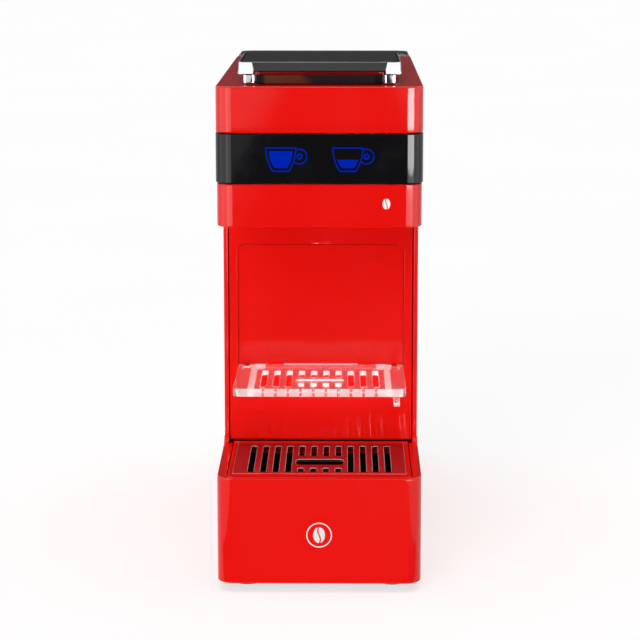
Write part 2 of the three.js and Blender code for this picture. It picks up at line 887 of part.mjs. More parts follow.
const inletHose = () =>
  hose([
    [hosePort.x, coverRear + 1.5, hosePort.z],
    [hosePort.x, coverRear - 8, hosePort.z],
    [6, coverRear - 16, hosePort.z + 12],
    [meterSpot.x - 8, meterSpot.y, meterTop + 14],
    [meterSpot.x, meterSpot.y, meterTop + 12],
    [meterSpot.x, meterSpot.y, meterTop],
  ]);

const pressureHose = () =>
  hose(
    [
      [pumpX, pumpRear + fit, pumpZ],
      [pumpX, pumpRear + 12, pumpZ],
      [pumpX - 14, heaterRear - 24, pumpZ + 26],
      [-38, heaterRear - 20, 90],
      [-38, heaterRear - 20, 150],
      [-38, heaterRear - 20, heaterMid - 9],
      [-36.6, heaterRear - 20, heaterMid - 1.6],
      [-34, heaterRear - 20, heaterMid],
      [-31 - fit, heaterRear - 20, heaterMid],
    ],
    hoseRadius,
    30,
  );

// ---- tank and its dock ----
const tankHalf = half - 1.5;
const tankFront = coverRear + 1.2;
const tankRear = overallDepth - 0.5;
const tankRim = bodyTop - lidThickness - slip;
const socket = { y: tankFront + 24, radius: 7 };
const mouthFront = tankFront + fillMouthSetback;

function tankDock() {
  const block = upright(plan(half, coverRear, dockRear, 0, cornerRadius), bodyBottom, dockTop, 5);
  const under = upright(
    plan(inner, coverRear - 1, dockRear - wall, 0, cornerRadius - wall),
    bodyBottom - 1,
    dockTop - 7,
    5,
  );
  const well = rod("z", socket.radius + 1.6, 0, dockTop + 1, [0, socket.y, 0], 24);
  const gland = rod("y", glandRadius + slip, dockRear - 6, dockRear + 3, [-26, 0, 17], 20);
  const rockerHole = box(
    switchX - switchHalf - fit,
    switchX + switchHalf + fit,
    dockRear - 6,
    dockRear + 3,
    switchZ - switchHalfHeight - fit,
    switchZ + switchHalfHeight + fit,
  );
  const hoseGate = box(-6, 6, coverRear - 2, coverRear + 2, 10, dockTop - 7);
  return cut(block, under, well, gland, rockerHole, hoseGate);
}

function waterTank() {
  const low = dockTop + fit;
  const shell = cut(
    upright(plan(tankHalf, tankFront, tankRear, 3, cornerRadius), low, tankRim, 6),
    upright(
      plan(tankHalf - tankWall, tankFront + tankWall, tankRear - tankWall, 2, cornerRadius - tankWall),
      low + 2.5,
      tankRim + 1,
      6,
    ),
  );
  const strip = upright(plan(tankHalf, tankFront, mouthFront, 3), tankRim - 2, bodyTop);
  const stripRoom = box(
    -tankHalf + tankWall,
    tankHalf - tankWall,
    tankFront + tankWall,
    mouthFront - 2,
    tankRim - 3,
    bodyTop - 2,
  );
  const nozzle = rod("z", socket.radius, low - 9, low + 1, [0, socket.y, 0], 24);
  const outlet = rod("z", 3.4, low - 12, low + 6, [0, socket.y, 0], 16);
  return cut(join(cut(join(shell, strip), stripRoom), nozzle), outlet);
}

const tankSeal = () =>
  turned(
    [
      [socket.radius + slip, dockTop - 6.5],
      [socket.radius + 1.3, dockTop - 6.5],
      [socket.radius + 1.3, dockTop - 3],
      [socket.radius + slip, dockTop - 3],
      [socket.radius + slip, dockTop - 6.5],
    ],
    "z",
    [0, socket.y, 0],
    24,
  );

function tankLid() {
  const radius = lidThickness / 2;
  const front = mouthFront + fit;
  const outline = plan(half - 0.6, front + radius, overallDepth, 0, cornerRadius);
  const sheet = upright(outline, bodyTop - lidThickness, bodyTop, 5);
  const nose = rod("x", radius, -half + 0.6, half - 0.6, [0, front + radius, bodyTop - radius], 16);
  return join(sheet, nose);
}

// ---- switch and cord gland in the dock's rear wall ----
const glandRadius = 5.5;
const switchX = 24;
const switchZ = 17;
const switchDepth = 4;
const switchHalf = 9.6;
const switchHalfHeight = 5.6;

function switchFrame() {
  const around = (halfX, halfZ, y0, y1) =>
    box(switchX - halfX, switchX + halfX, y0, y1, switchZ - halfZ, switchZ + halfZ);
  const flange = around(11.5, 7.5, dockRear + slip, dockRear + 1.6);
  const barrel = around(switchHalf, switchHalfHeight, dockRear - 9, dockRear + 1);
  const mouth = around(switchHalf - 1.2, switchHalfHeight - 1, dockRear - switchDepth, dockRear + 4);
  return cut(join(flange, barrel), mouth);
}

// Drawn about its own axis; the group below tips it to its off position.
const rockerTilt = 7;
function powerRocker() {
  const profile = polygon([[-0.6, -3.7], [1.5, -3.7], [1, 0], [1.5, 3.7], [-0.6, 3.7], [-1.6, 0]]);
  const rockerHalf = switchHalf - 1.2 - fit;
  return across(profile, switchX - rockerHalf, switchX + rockerHalf);
}

const cordGland = () =>
  turned(
    [
      [3, dockRear - 5],
      [glandRadius, dockRear - 5],
      [glandRadius, dockRear + slip],
      [7, dockRear + slip],
      [6, dockRear + 2.9],
      [3, dockRear + 2.9],
      [3, dockRear - 5],
    ],
    "y",
    [-26, 0, 17],
    24,
  );

// ---- put together ----
place("base_pan", basePan(), finish.darkPlastic);
for (const [spot, x, y] of footSpots) place(`foot_${spot}`, foot(x, y), finish.rubber);
for (const [spot, side, y] of screwSpots) place(`pan_screw_${spot}`, panScrew(side, y), finish.steel);

place("tray_housing", trayHousing(), finish.red);
place("drip_tub", dripTub(), finish.red);
place("drip_grid", dripGrid(), finish.steel);

place("left_side_cover", sideCover(-1), finish.red);
place("right_side_cover", sideCover(1), finish.red);
place("rear_cover", rearCover(), finish.darkPlastic);
place("bin_bay", binBay(), finish.red);

place("drawer_front", drawerFront(), finish.red);
place("capsule_bin", capsuleBin(), finish.darkPlastic);
place("cup_shelf", cupShelf(), finish.clear);
place("shelf_pin_left", shelfPin(-1), finish.steel);
place("shelf_pin_right", shelfPin(1), finish.steel);

place("top_cover", topCover(), finish.red);
place("touch_panel", touchPanel(), finish.blackGloss);
place("head_lower_cover", headLowerCover(), finish.red);
place("front_window", frontWindow(), finish.smoke);
place("lever_rest_left", leverRest(-1), finish.chrome);
place("lever_rest_right", leverRest(1), finish.chrome);
place("lever_frame", leverFrame(), finish.chrome);
place("lever_insert", leverInsert(), finish.blackGloss);
place("lever_pin", leverPin(), finish.steel);

place("brew_frame", brewFrame(), finish.alloy);
place("brew_head", brewHead(), finish.brass);
place("brew_piston", brewPiston(), finish.brass);
place("piston_seal", pistonSeal(), finish.rubber);
place("capsule_chute", capsuleChute(), finish.darkPlastic);
place("coffee_spout", coffeeSpout(), finish.darkPlastic);

place("pump_barrel", pumpBarrel(), finish.brass);
place("pump_coil", pumpCoil(), finish.darkPlastic);
place("pump_mount_front", pumpMount(pumpFront + 14), finish.rubber);
place("pump_mount_rear", rearMount(), finish.rubber);
place("flow_meter", flowMeter(), finish.clear);
place("chassis_shelf", chassisShelf(), finish.alloy);
place("thermoblock", thermoblock(), finish.alloy);
place("control_board", controlBoard(), finish.board);
place("touch_board", touchBoard(), finish.board);
place("inlet_hose", inletHose(), finish.clear);
place("pressure_hose", pressureHose(), finish.clear);

place("tank_dock", tankDock(), finish.red);
place("water_tank", waterTank(), finish.clear);
place("tank_seal", tankSeal(), finish.rubber);
place("tank_lid", tankLid(), finish.smoke);
place("switch_frame", switchFrame(), finish.darkPlastic);
place("cord_gland", cordGland(), finish.rubber);

const rocker = new THREE.Group();
rocker.position.set(0, dockRear - 1, switchZ);
rocker.rotation.x = THREE.MathUtils.degToRad(rockerTilt);
place("power_rocker", powerRocker(), finish.blackGloss, rocker);
machine.add(rocker);

const pod_coffee_machine = new THREE.Group();
pod_coffee_machine.add(machine);
export default pod_coffee_machine;
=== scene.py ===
import json
import math
from types import SimpleNamespace

import bmesh
import bpy
from mathutils import Matrix, Vector

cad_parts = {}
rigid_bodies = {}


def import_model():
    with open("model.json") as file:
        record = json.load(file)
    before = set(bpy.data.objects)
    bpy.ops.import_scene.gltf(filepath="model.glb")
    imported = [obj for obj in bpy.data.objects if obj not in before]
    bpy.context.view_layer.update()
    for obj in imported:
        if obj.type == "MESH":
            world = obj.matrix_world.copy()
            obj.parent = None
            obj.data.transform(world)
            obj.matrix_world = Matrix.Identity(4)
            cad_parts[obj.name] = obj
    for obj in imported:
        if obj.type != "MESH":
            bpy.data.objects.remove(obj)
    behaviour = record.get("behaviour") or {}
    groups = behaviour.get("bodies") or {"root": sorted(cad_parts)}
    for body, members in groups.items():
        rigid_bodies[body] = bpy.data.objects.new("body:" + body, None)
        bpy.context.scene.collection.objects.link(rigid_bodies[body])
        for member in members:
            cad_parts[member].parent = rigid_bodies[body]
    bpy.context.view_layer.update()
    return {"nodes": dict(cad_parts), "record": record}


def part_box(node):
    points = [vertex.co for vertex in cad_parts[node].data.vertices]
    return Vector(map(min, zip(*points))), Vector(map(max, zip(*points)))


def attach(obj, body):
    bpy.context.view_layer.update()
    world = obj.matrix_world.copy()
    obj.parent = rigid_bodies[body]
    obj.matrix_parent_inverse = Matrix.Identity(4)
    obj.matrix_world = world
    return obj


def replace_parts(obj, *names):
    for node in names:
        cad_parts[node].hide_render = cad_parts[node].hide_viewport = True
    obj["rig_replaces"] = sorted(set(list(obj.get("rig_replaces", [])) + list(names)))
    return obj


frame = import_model()

record = frame["record"]
bodyOf = {node: body for body, names in record["behaviour"]["bodies"].items() for node in names}
slotOf = {row["node"]: row["material_slot"] for row in record["subparts"]}
mm = 0.001  # sizes below are millimetres


def span(node):
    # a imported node's box, in millimetres
    low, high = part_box(node)
    keys = ("x0", "y0", "z0", "x1", "y1", "z1")
    return SimpleNamespace(**dict(zip(keys, [c / mm for c in (*low, *high)])))


class Wire:
    # one socket of a shader; arithmetic on it adds Math nodes
    def __init__(self, tree, socket=None):
        self.tree = tree
        self.socket = socket

    def node(self, kind, settings=None, sockets=None, out=0):
        made = self.tree.nodes.new("ShaderNode" + kind)
        for name, value in (settings or {}).items():
            if name == "stops":
                ramp = made.color_ramp
                for i, (place, shade) in enumerate(value):
                    stop = ramp.elements[i] if i < 2 else ramp.elements.new(place)
                    stop.position = place
                    stop.color = (shade, shade, shade, 1)
            else:
                setattr(made, name, value)
        for name, value in (sockets or {}).items():
            if isinstance(value, Wire):
                self.tree.links.new(value.socket, made.inputs[name])
            else:
                made.inputs[name].default_value = value
        return Wire(self.tree, made.outputs[out])

    def maths(self, operation, first, second):
        return self.node("Math", {"operation": operation}, {0: first, 1: second})

    def __add__(self, other):
        return self.maths("ADD", self, other)

    def __sub__(self, other):
        return self.maths("SUBTRACT", self, other)

    def __rsub__(self, other):
        return self.maths("SUBTRACT", other, self)

    def __mul__(self, other):
        return self.maths("MULTIPLY", self, other)

    __radd__ = __add__
    __rmul__ = __mul__

    def stretched(self, x, y, z):
        return self.node("VectorMath", {"operation": "MULTIPLY"}, {0: self, 1: (x, y, z)})

    def noise(self, scale, detail=3.0, rough=0.5):
        sockets = {"Vector": self, "Scale": scale, "Detail": detail, "Roughness": rough}
        return self.node("TexNoise", None, sockets)

    def ramp(self, *stops):
        return self.node("ValToRGB", {"stops": stops}, {"Fac": self})

    def mix(self, first, second):
        return self.node("Mix", {"data_type": "RGBA"}, {0: self, 6: first, 7: second}, out=2)

    def tint(self, low, high):
        return self.mix((*low, 1), (*high, 1))

    def bump(self, strength, depth):
        sockets = {"Height": self, "Strength": strength, "Distance": depth}
        return self.node("Bump", None, sockets)


def finish(name, look, **plain):
    # look(place) returns the wires that vary over the surface; plain numbers sit on the shader itself
    material = bpy.data.materials.new(name)
    material.use_nodes = True
    tree = material.node_tree
    shader = tree.nodes["Principled BSDF"]
    for socket, value in plain.items():
        shader.inputs[socket.replace("_", " ")].default_value = value
    place = Wire(tree).node("TexCoord", out=3)
    for socket, wire in look(place).items():
        tree.links.new(wire.socket, shader.inputs[socket])
    return material


redShell = {"deep": (0.82, 0.004, 0.0025), "fresh": (0.88, 0.007, 0.004), "gloss": 0.06, "smudge": 0.07}


def redLook(place):
    cloudy = place.noise(14, 4)
    skin = place.noise(650, 2)  # moulded skin, a faint orange peel
    smudges = place.stretched(1, 1, 0.45).noise(38, 5, 0.62).ramp((0.46, 0), (0.78, 1))
    return {
        "Base Color": cloudy.tint(redShell["deep"], redShell["fresh"]),
        "Roughness": redShell["gloss"] + smudges * redShell["smudge"],
        "Normal": skin.bump(0.04, 0.0001),
    }


blackPiano = {
    "low": (0.0035, 0.0035, 0.0045),
    "high": (0.006, 0.006, 0.007),
    "gloss": 0.05,
    "smudge": 0.10,
    "hairline": 0.03,
}


def blackLook(place):
    smudges = place.noise(46, 5, 0.65).ramp((0.5, 0), (0.8, 1))
    hairlines = place.stretched(1, 1, 26).noise(220, 2).ramp((0.60, 0), (0.72, 1))
    worn = blackPiano["gloss"] + smudges * blackPiano["smudge"]
    return {
        "Base Color": place.noise(20).tint(blackPiano["low"], blackPiano["high"]),
        "Roughness": worn + hairlines * blackPiano["hairline"],
        "Normal": place.noise(500, 2).bump(0.02, 0.0002),
    }


chromePlate = {"clean": (0.63, 0.64, 0.67), "hazy": (0.55, 0.56, 0.59), "gloss": 0.05, "smudge": 0.08}


def chromeLook(place):
    haze = place.noise(60, 4).ramp((0.45, 0), (0.8, 1))
    return {
        "Base Color": haze.tint(chromePlate["clean"], chromePlate["hazy"]),
        "Roughness": chromePlate["gloss"] + haze * chromePlate["smudge"],
        "Normal": place.noise(240, 2).bump(0.03, 0.0003),
    }


def steelLook(low, high):
    def look(place):
        grain = place.stretched(1, 0.02, 1).noise(2600, 3)
        spots = place.noise(90, 4).ramp((0.5, 0), (0.85, 1))
        return {
            "Base Color": spots.tint(low, high),
            "Roughness": 0.13 + grain * 0.10 + spots * 0.06,
            "Normal": grain.bump(0.08, 0.0001),
        }
    return look


def rimPaintedHighlightLook(low, high):
    # the punched edges are rougher, and painted lighter and pinker than the polished face: a painted
    # highlight
    return lambda place: {
        "Base Color": place.noise(300, 3).tint(low, high),
        "Roughness": 0.42 + 0.1 * place.noise(700, 2),
    }


def glassyLook(clean, hazy, gloss, smudge, scale):
    # a clear or smoked moulding with a little handling haze
    def look(place):
        haze = place.noise(scale, 5).ramp((0.45, 0), (0.85, 1))
        return {
            "Base Color": haze.tint(clean, hazy),
            "Roughness": gloss + haze * smudge,
            "Normal": place.noise(160, 2).bump(0.03, 0.0004),
        }
    return look


def frostLook(low, high):
    def look(place):
        grain = place.noise(900, 4, 0.6)
        return {
            "Base Color": grain.tint(low, high),
            "Roughness": 0.28 + 0.2 * grain,
            "Normal": grain.bump(0.25, 0.0003),
        }
    return look


def grainLook(low, high, rough):
    # matte moulding with a fine spark-eroded grain
    def look(place):
        grain = place.noise(1500, 4, 0.6)
        wear = place.noise(40, 5).ramp((0.48, 0), (0.8, 1))
        return {
            "Base Color": wear.tint(low, high),
            "Roughness": rough - 0.12 * wear + 0.1 * grain,
            "Normal": grain.bump(0.35, 0.0003),
        }
    return look


def metalLook(low, high, rough):
    def look(place):
        cast = place.noise(420, 4, 0.6)
        stain = place.noise(36, 4).ramp((0.42, 0), (0.8, 1))
        return {
            "Base Color": stain.tint(low, high),
            "Roughness": rough + 0.15 * stain + 0.05 * cast,
            "Normal": cast.bump(0.15, 0.0003),
        }
    return look


def boardLook(low, high):
    def look(place):
        sockets = {"Vector": place, "Scale": 60.0, "Mortar Size": 0.03}
        tracks = place.node("TexBrick", None, sockets, out=1)
        return {
            "Base Color": tracks.tint(low, high),
            "Roughness": 0.35 + tracks * 0.15,
            "Normal": tracks.bump(0.2, 0.0002),
        }
    return look


smokedPane = {
    "grey": (0.014, 0.014, 0.017),
    "amber": (0.11, 0.032, 0.013),
    "ends": (0.003, 0.003, 0.003),
    "middle": 15.14,  # moves the change from amber to grey
    "slope": 60,  # the change per metre, sideways and upwards
    "endSlope": 1000,
}


def windowLook(place):
    # smoked glass: amber on its left, grey on its right, black at both rounded ends
    across = place.node("SeparateXYZ", None, {"Vector": place})
    up = place.node("SeparateXYZ", None, {"Vector": place}, out=2)
    slope = smokedPane["slope"]
    amber = (smokedPane["middle"] - across * slope - up * slope).ramp((0.35, 0), (0.65, 1))
    ends = (across * across * smokedPane["endSlope"]).ramp((0.66, 0), (0.76, 1))
    lit = amber.tint(smokedPane["grey"], smokedPane["amber"])
    return {
        "Base Color": ends.mix(lit, (*smokedPane["ends"], 1)),
        "Roughness": 0.08 + 0.06 * place.noise(120, 3),
    }


def printLook(low, high):
    return lambda place: {
        "Base Color": place.noise(900, 2).tint(low, high),
        "Roughness": 0.25 + 0.1 * place.noise(400, 2),
    }


# what each finish's look is given: its two colours, then its roughness and the like
tones = {
    "polishedSteel": ((0.56, 0.54, 0.54), (0.46, 0.44, 0.45)),
    "gridSteel": ((0.34, 0.36, 0.43), (0.27, 0.29, 0.36)),
    "steelRimPaintedHighlight": ((0.62, 0.56, 0.57), (0.74, 0.68, 0.69)),
    "clearMoulding": ((1.0, 1.0, 1.0), (0.96, 0.97, 0.975), 0.03, 0.06, 30),
    "smokedMoulding": ((0.10, 0.13, 0.17), (0.14, 0.17, 0.22), 0.04, 0.08, 34),
    "frostedMoulding": ((0.93, 0.92, 0.92), (1.0, 0.99, 0.99)),
    "darkMoulding": ((0.018, 0.019, 0.021), (0.035, 0.036, 0.038), 0.5),
    "linerBlackAndSlotShade": ((0.001, 0.001, 0.001), (0.003, 0.003, 0.003), 0.45),
    "softRubber": ((0.012, 0.012, 0.012), (0.03, 0.03, 0.029), 0.75),
    "darkCard": ((0.01, 0.01, 0.01), (0.014, 0.014, 0.014), 0.9),
    "circuitBoard": ((0.010, 0.10, 0.035), (0.03, 0.19, 0.07)),
    "turnedBrass": ((0.70, 0.50, 0.20), (0.48, 0.30, 0.10), 0.22),
    "castAlloy": ((0.68, 0.69, 0.70), (0.50, 0.51, 0.52), 0.35),
    "blueIcon": ((0.0, 0.003, 0.08), (0.0, 0.004, 0.11)),
    "paintedFoldHighlight": ((0.09, 0.10, 0.11), (0.13, 0.14, 0.15)),
    "whitePrint": ((0.78, 0.78, 0.76), (0.88, 0.88, 0.87)),
}


def toned(name, look, **plain):
    return finish(name, look(*tones[name]), **plain)


acrylic = 1.49  # index of refraction of the clear mouldings
finishes = {
    "red_gloss": finish("redGloss", redLook, IOR=1.36),
    "black_gloss": finish("pianoBlack", blackLook, IOR=1.3),
    "chrome": finish("chromePlate", chromeLook, Metallic=1.0),
    "steel": toned("polishedSteel", steelLook, Metallic=1.0),
    "clear": toned("clearMoulding", glassyLook, IOR=acrylic, Transmission_Weight=0.95),
    "smoke": toned("smokedMoulding", glassyLook, IOR=acrylic, Transmission_Weight=0.75),
    "dark_plastic": toned("darkMoulding", grainLook),
    "rubber": toned("softRubber", grainLook),
    "board": toned("circuitBoard", boardLook),
    "brass": toned("turnedBrass", metalLook, Metallic=1.0),
    "alloy": toned("castAlloy", metalLook, Metallic=1.0),
}
iconBlue = (0.0, 0.014, 0.33, 1)
bluePrint = toned(
    "blueIcon", printLook, Specular_IOR_Level=0.0, Emission_Color=iconBlue, Emission_Strength=1.0
)
frosted = toned("frostedMoulding", frostLook, IOR=acrylic, Transmission_Weight=0.55)
# black for the tub's liner, and painted shade on the grid's slot walls
linerBlackAndSlotShade = toned("linerBlackAndSlotShade", grainLook, Specular_IOR_Level=0.1)
gridSteel = toned("gridSteel", steelLook, Metallic=1.0)
# the slot rims' lighter, pinker steel is a painted highlight
steelRimPaintedHighlight = toned("steelRimPaintedHighlight", rimPaintedHighlightLook, Metallic=0.35)
# a lighter grey for the lever's fold: a painted highlight
paintedFoldHighlight = toned("paintedFoldHighlight", printLook)
windowGlass = finish("windowGlass", windowLook, IOR=1.3)
whitePrint = toned("whitePrint", printLook)
print("finishes made")


samePoint = 0.002  # points closer than this become one
crease = 32  # degrees; a steeper edge stays sharp
beyond = 5  # how far a cutter reaches past what it cuts


# every outline is counter-clockwise, in millimetres
def arc(u, v, radius, start, end, steps=10):
    turns = [math.radians(start + (end - start) * i / steps) for i in range(steps + 1)]
    return [(u + radius * math.cos(t), v + radius * math.sin(t)) for t in turns]


def outline(u0, u1, v0, v1, radii=0, steps=10):
    # rounded rectangle; radii run from the low corner round
    a, b, c, d = radii if isinstance(radii, (list, tuple)) else [radii] * 4
    corners = (
        (u0 + a, v0 + a, a, 180),
        (u1 - b, v0 + b, b, 270),
        (u1 - c, v1 - c, c, 0),
        (u0 + d, v1 - d, d, 90),
    )
    points = []
    for u, v, radius, start in corners:
        points += arc(u, v, radius, start, start + 90, steps) if radius else [(u, v)]
    return points


def plan(halfWidth, y0, y1, front, rear=0.0, steps=12):
    return outline(-halfWidth, halfWidth, y0, y1, [front, front, rear, rear], steps)


def newObject(name, data):
    made = bpy.data.objects.new(name, data)
    bpy.context.scene.collection.objects.link(made)
    return made


def newPiece(name, shape):
    bmesh.ops.recalc_face_normals(shape, faces=shape.faces)
    mesh = bpy.data.meshes.new(name)
    shape.to_mesh(mesh)
    shape.free()
    return newObject(name, mesh)


def resultMesh(piece):
    # the piece's mesh with its modifiers or its curve's thickness applied
    bpy.context.view_layer.update()
    return bpy.data.meshes.new_from_object(piece.evaluated_get(bpy.context.evaluated_depsgraph_get()))


lay = {
    "x": lambda u, v, w: (w, u, v),
    "y": lambda u, v, w: (u, w, v),
    "z": lambda u, v, w: (u, v, w),
}


def prism(points, low, high, along="z", edge=0.0, name="prism"):
    # an outline pulled from low to high, its sharp edges rounded by edge
    shape = bmesh.new()
    ends = [[shape.verts.new(Vector(lay[along](u, v, w)) * mm) for u, v in points] for w in (low, high)]
    for end in ends:
        shape.faces.new(end)
    for i in range(len(points)):
        j = (i + 1) % len(points)
        shape.faces.new((ends[0][i], ends[0][j], ends[1][j], ends[1][i]))
    bmesh.ops.recalc_face_normals(shape, faces=shape.faces)
    if edge:
        roundEdges(shape, edge)
    return newPiece(name, shape)


def bevelEdges(shape, edges, width):
    bmesh.ops.bevel(
        shape,
        geom=edges,
        offset=width * mm,
        segments=3,
        profile=0.5,
        affect="EDGES",
        clamp_overlap=False,
        loop_slide=False,
    )


def roundEdges(shape, edge, sharpest=25):
    limit = math.radians(sharpest)
    bevelEdges(shape, [e for e in shape.edges if e.is_manifold and e.calc_face_angle() > limit], edge)


def block(x0, x1, y0, y1, z0, z1, edge=0.0, name="block"):
    return prism(outline(x0, x1, y0, y1), z0, z1, "z", edge, name)


def turned(profile, centre, along="z", steps=48):
    # a profile of (radius, distance along the axis), from axis to axis or closed on itself
    shape = bmesh.new()
    rings = []
    for radius, distance in profile:
        turns = [2 * math.pi * i / steps for i in range(steps)] if radius else [0.0]
        ring = [lay[along](radius * math.cos(t), radius * math.sin(t), distance) for t in turns]
        rings.append([shape.verts.new((Vector(p) + Vector(centre)) * mm) for p in ring])
    if profile[0][0]:
        rings.append(rings[0])
    for low, high in zip(rings, rings[1:]):
        for i in range(steps):
            j = (i + 1) % steps
            face = [low[i % len(low)], low[j % len(low)], high[j % len(high)], high[i % len(high)]]
            shape.faces.new(list(dict.fromkeys(face)))
    return newPiece("turned", shape)


def rod(radius, low, high, centre, along="z", steps=32):
    return turned([(0, low), (radius, low), (radius, high), (0, high)], centre, along, steps)


def joined(piece, tools, operation):
    for tool in tools:
        change = piece.modifiers.new("change", "BOOLEAN")
        change.operation = operation
        change.solver = "EXACT"
        change.object = tool
    mesh = resultMesh(piece)
    piece.modifiers.clear()
    piece.data = mesh
    for tool in tools:
        bpy.data.objects.remove(tool)
    return piece


def carve(piece, *tools):
    return joined(piece, tools, "DIFFERENCE")


def weld(piece, *parts):
    return joined(piece, parts, "UNION")


def opened(piece, merge=samePoint):
    # the piece's mesh laid open for a change, its doubled points made one
    shape = bmesh.new()
    shape.from_mesh(piece.data)
    bmesh.ops.remove_doubles(shape, verts=shape.verts, dist=merge * mm)
    return shape


def closed(piece, shape):
    shape.to_mesh(piece.data)
    shape.free()


def softenAt(piece, axis, level, edge):
    # rounds the sharp edges that lie in one plane across the axis
    shape = opened(piece)
    rim = []
    for e in shape.edges:
        inPlane = all(abs(v.co["xyz".index(axis)] / mm - level) < 0.02 for v in e.verts)
        if inPlane and e.is_manifold and e.calc_face_angle() > math.radians(60):
            rim.append(e)
    bevelEdges(shape, rim, edge)
    closed(piece, shape)


def smoothed(piece):
    # smooth shading that keeps the creases crisp
    for face in piece.data.polygons:
        face.use_smooth = True
    piece.data.set_sharp_from_angle(angle=math.radians(crease))


def tidy(piece):
    closed(piece, opened(piece))
    smoothed(piece)
    normals = piece.modifiers.new("normals", "WEIGHTED_NORMAL")  # flats stay flat
    normals.keep_sharp = True
    normals.weight = 60


def dress(piece, material, body):
    piece.data.materials.clear()
    piece.data.materials.append(material)
    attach(piece, body)


def standIn(piece, node, material=None):
    # the finished piece takes the node's place, body and finish
    piece.name = node + "_shell"
    tidy(piece)
    dress(piece, material or finishes[slotOf[node]], bodyOf[node])
    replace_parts(piece, node)


def mirrored(piece, name):
    other = piece.copy()
    other.data = piece.data.copy()
    other.data.transform(Matrix.Scale(-1, 4, (1, 0, 0)))
    other.data.flip_normals()
    other.name = name
    bpy.context.scene.collection.objects.link(other)
    return other


# places that several pieces share
lid = span("tank_lid")
grid = span("drip_grid")
tray = span("tray_housing")
tub = span("drip_tub")
cover = span("top_cover")
band = span("touch_panel")
chin = span("head_lower_cover")
door = span("drawer_front")
shelf = span("cup_shelf")
cheek = span("right_side_cover")
leverBox = span("lever_frame")
leverPin = span("lever_pin")
hingePin = span("shelf_pin_right")
spout = span("coffee_spout")
bodyTop = lid.z1
baseTop = grid.z1
cornerRadius = 8.0
wall = 2.4  # of the covers
pinBore = 1.4
leverAxis = (0, (leverPin.y0 + leverPin.y1) / 2, (leverPin.z0 + leverPin.z1) / 2)
shelfAxis = (0, (hingePin.y0 + hingePin.y1) / 2, (hingePin.z0 + hingePin.z1) / 2)
spoutY = (spout.y0 + spout.y1) / 2


baseMarkAt = {"z": 29.4, "pocket": 6.8, "ring": 6.3, "bean": 8.0}
base = {
    "wall": 4.6,
    "rimEdge": 0.9,
    "rise": 7.0,  # the run over which the rim climbs to the column
    "webWidth": 2.4,
    "floor": 12.7,
    "panRoom": 8.2,
    "panWall": 2.6,
    "panFront": 3.0,
    "pocketDepth": 0.2,
}


def makeTrayHousing():
    half = tray.x1
    body = prism(plan(half, tray.y0, tray.y1, cornerRadius), tray.z0, tray.z1, edge=base["rimEdge"])
    rise = [(tray.y0 - beyond, baseTop)]
    start = tray.y1 - base["rise"]
    height = tray.z1 - baseTop
    for i in range(13):  # a quarter of an ellipse lifts the rim to the column
        turn = math.pi / 2 * i / 12
        rise.append((start + base["rise"] * math.sin(turn), tray.z1 - height * math.cos(turn)))
    rear = tray.y1 + beyond
    over = tray.z1 + beyond
    rise += [(rear, tray.z1), (rear, over), (tray.y0 - beyond, over)]
    inside = base["wall"]
    under = base["panWall"]
    room = plan(half - inside, tray.y0 + wall, rear, cornerRadius - inside)
    panRoom = plan(half - under, tray.y0 + base["panFront"], rear, cornerRadius - under)
    carve(
        body,
        prism(rise, -half - beyond, half + beyond, "x"),
        prism(room, base["floor"], over),
        prism(plan(half - base["webWidth"], start - 2, rear, 0), baseTop, over),
        prism(panRoom, tray.z0 - beyond, base["panRoom"]),
    )
    softenAt(body, "z", baseTop, base["rimEdge"])
    pocketEnd = tray.y0 + base["pocketDepth"]
    carve(body, rod(baseMarkAt["pocket"], tray.y0 - 1, pocketEnd, (0, 0, baseMarkAt["z"]), "y", 64))
    standIn(body, "tray_housing")


tubSizes = {
    "corner": 3.1,
    "lip": 1.4,
    "lipDrop": 2,
    "seatGap": 0.3,
    "basinInset": 1.6,
    "basinCorner": 3,
    "floor": 2,
    "linerBelow": 5.0,
    "linerWall": 0.8,
}


def makeDripTub():
    half = tub.x1
    gap = tubSizes["seatGap"]
    inset = tubSizes["basinInset"]
    corner = tubSizes["basinCorner"]
    floor = tub.z0 + tubSizes["floor"]
    body = prism(plan(half, tub.y0, tub.y1, tubSizes["corner"]), tub.z0, baseTop, edge=0.5)
    lipLow = baseTop - tubSizes["lipDrop"]
    lip = block(-half, half, tub.y1 - tubSizes["lip"], tub.y1, lipLow, tub.z1, 0.3)
    over = baseTop + beyond
    seat = prism(plan(grid.x1 + gap, grid.y0 - gap, grid.y1 + gap, 1, 1), grid.z0 - gap, over)
    room = (grid.x1 - inset, grid.y0 + inset, grid.y1 - inset)
    basin = prism(plan(*room, corner, corner), floor, over)
    weld(body, lip)
    carve(body, seat, basin)
    standIn(body, "drip_tub")
    # a dark liner stops short of the rim, so the red wall shows above it
    top = baseTop - tubSizes["linerBelow"]
    liner = prism(plan(*room, corner, corner), floor, top, edge=0.2)
    thick = tubSizes["linerWall"]
    hollow = plan(room[0] - thick, room[1] + thick, room[2] - thick, corner - thick, corner - thick)
    carve(liner, prism(hollow, floor + thick, top + 1))
    liner.name = "tub_liner"
    tidy(liner)
    dress(liner, linerBlackAndSlotShade, bodyOf["drip_tub"])


slots = {
    "pitch": 6.2,
    "gridSlot": 2.9,
    "shelfSlot": 3.0,
    "gridCross": 11.9,
    "shelfCross": 12.2,
    "round": 3.2,
    "rim": 0.4,  # rounding of the punched sheets
}


def slotLoops(columns, width, crossHalf, rows):
    # the outer columns run through, the middle four are broken by a wide cross slot
    loops = []

    def add(x, run):
        loops.append(outline(x - width / 2, x + width / 2, *run, width / 2 - 0.02, 6))

    for i in range(columns):
        x = (i - (columns - 1) / 2) * slots["pitch"]
        if abs(x) > 2 * slots["pitch"]:
            add(x, rows["full"])
        else:
            add(x, rows["rear"])
            add(x, rows["front"])
    low, high = rows["cross"]
    radius = min(slots["round"], (high - low) / 2 - 0.02)
    loops.append(outline(-crossHalf, crossHalf, low, high, radius, 8))
    return loops


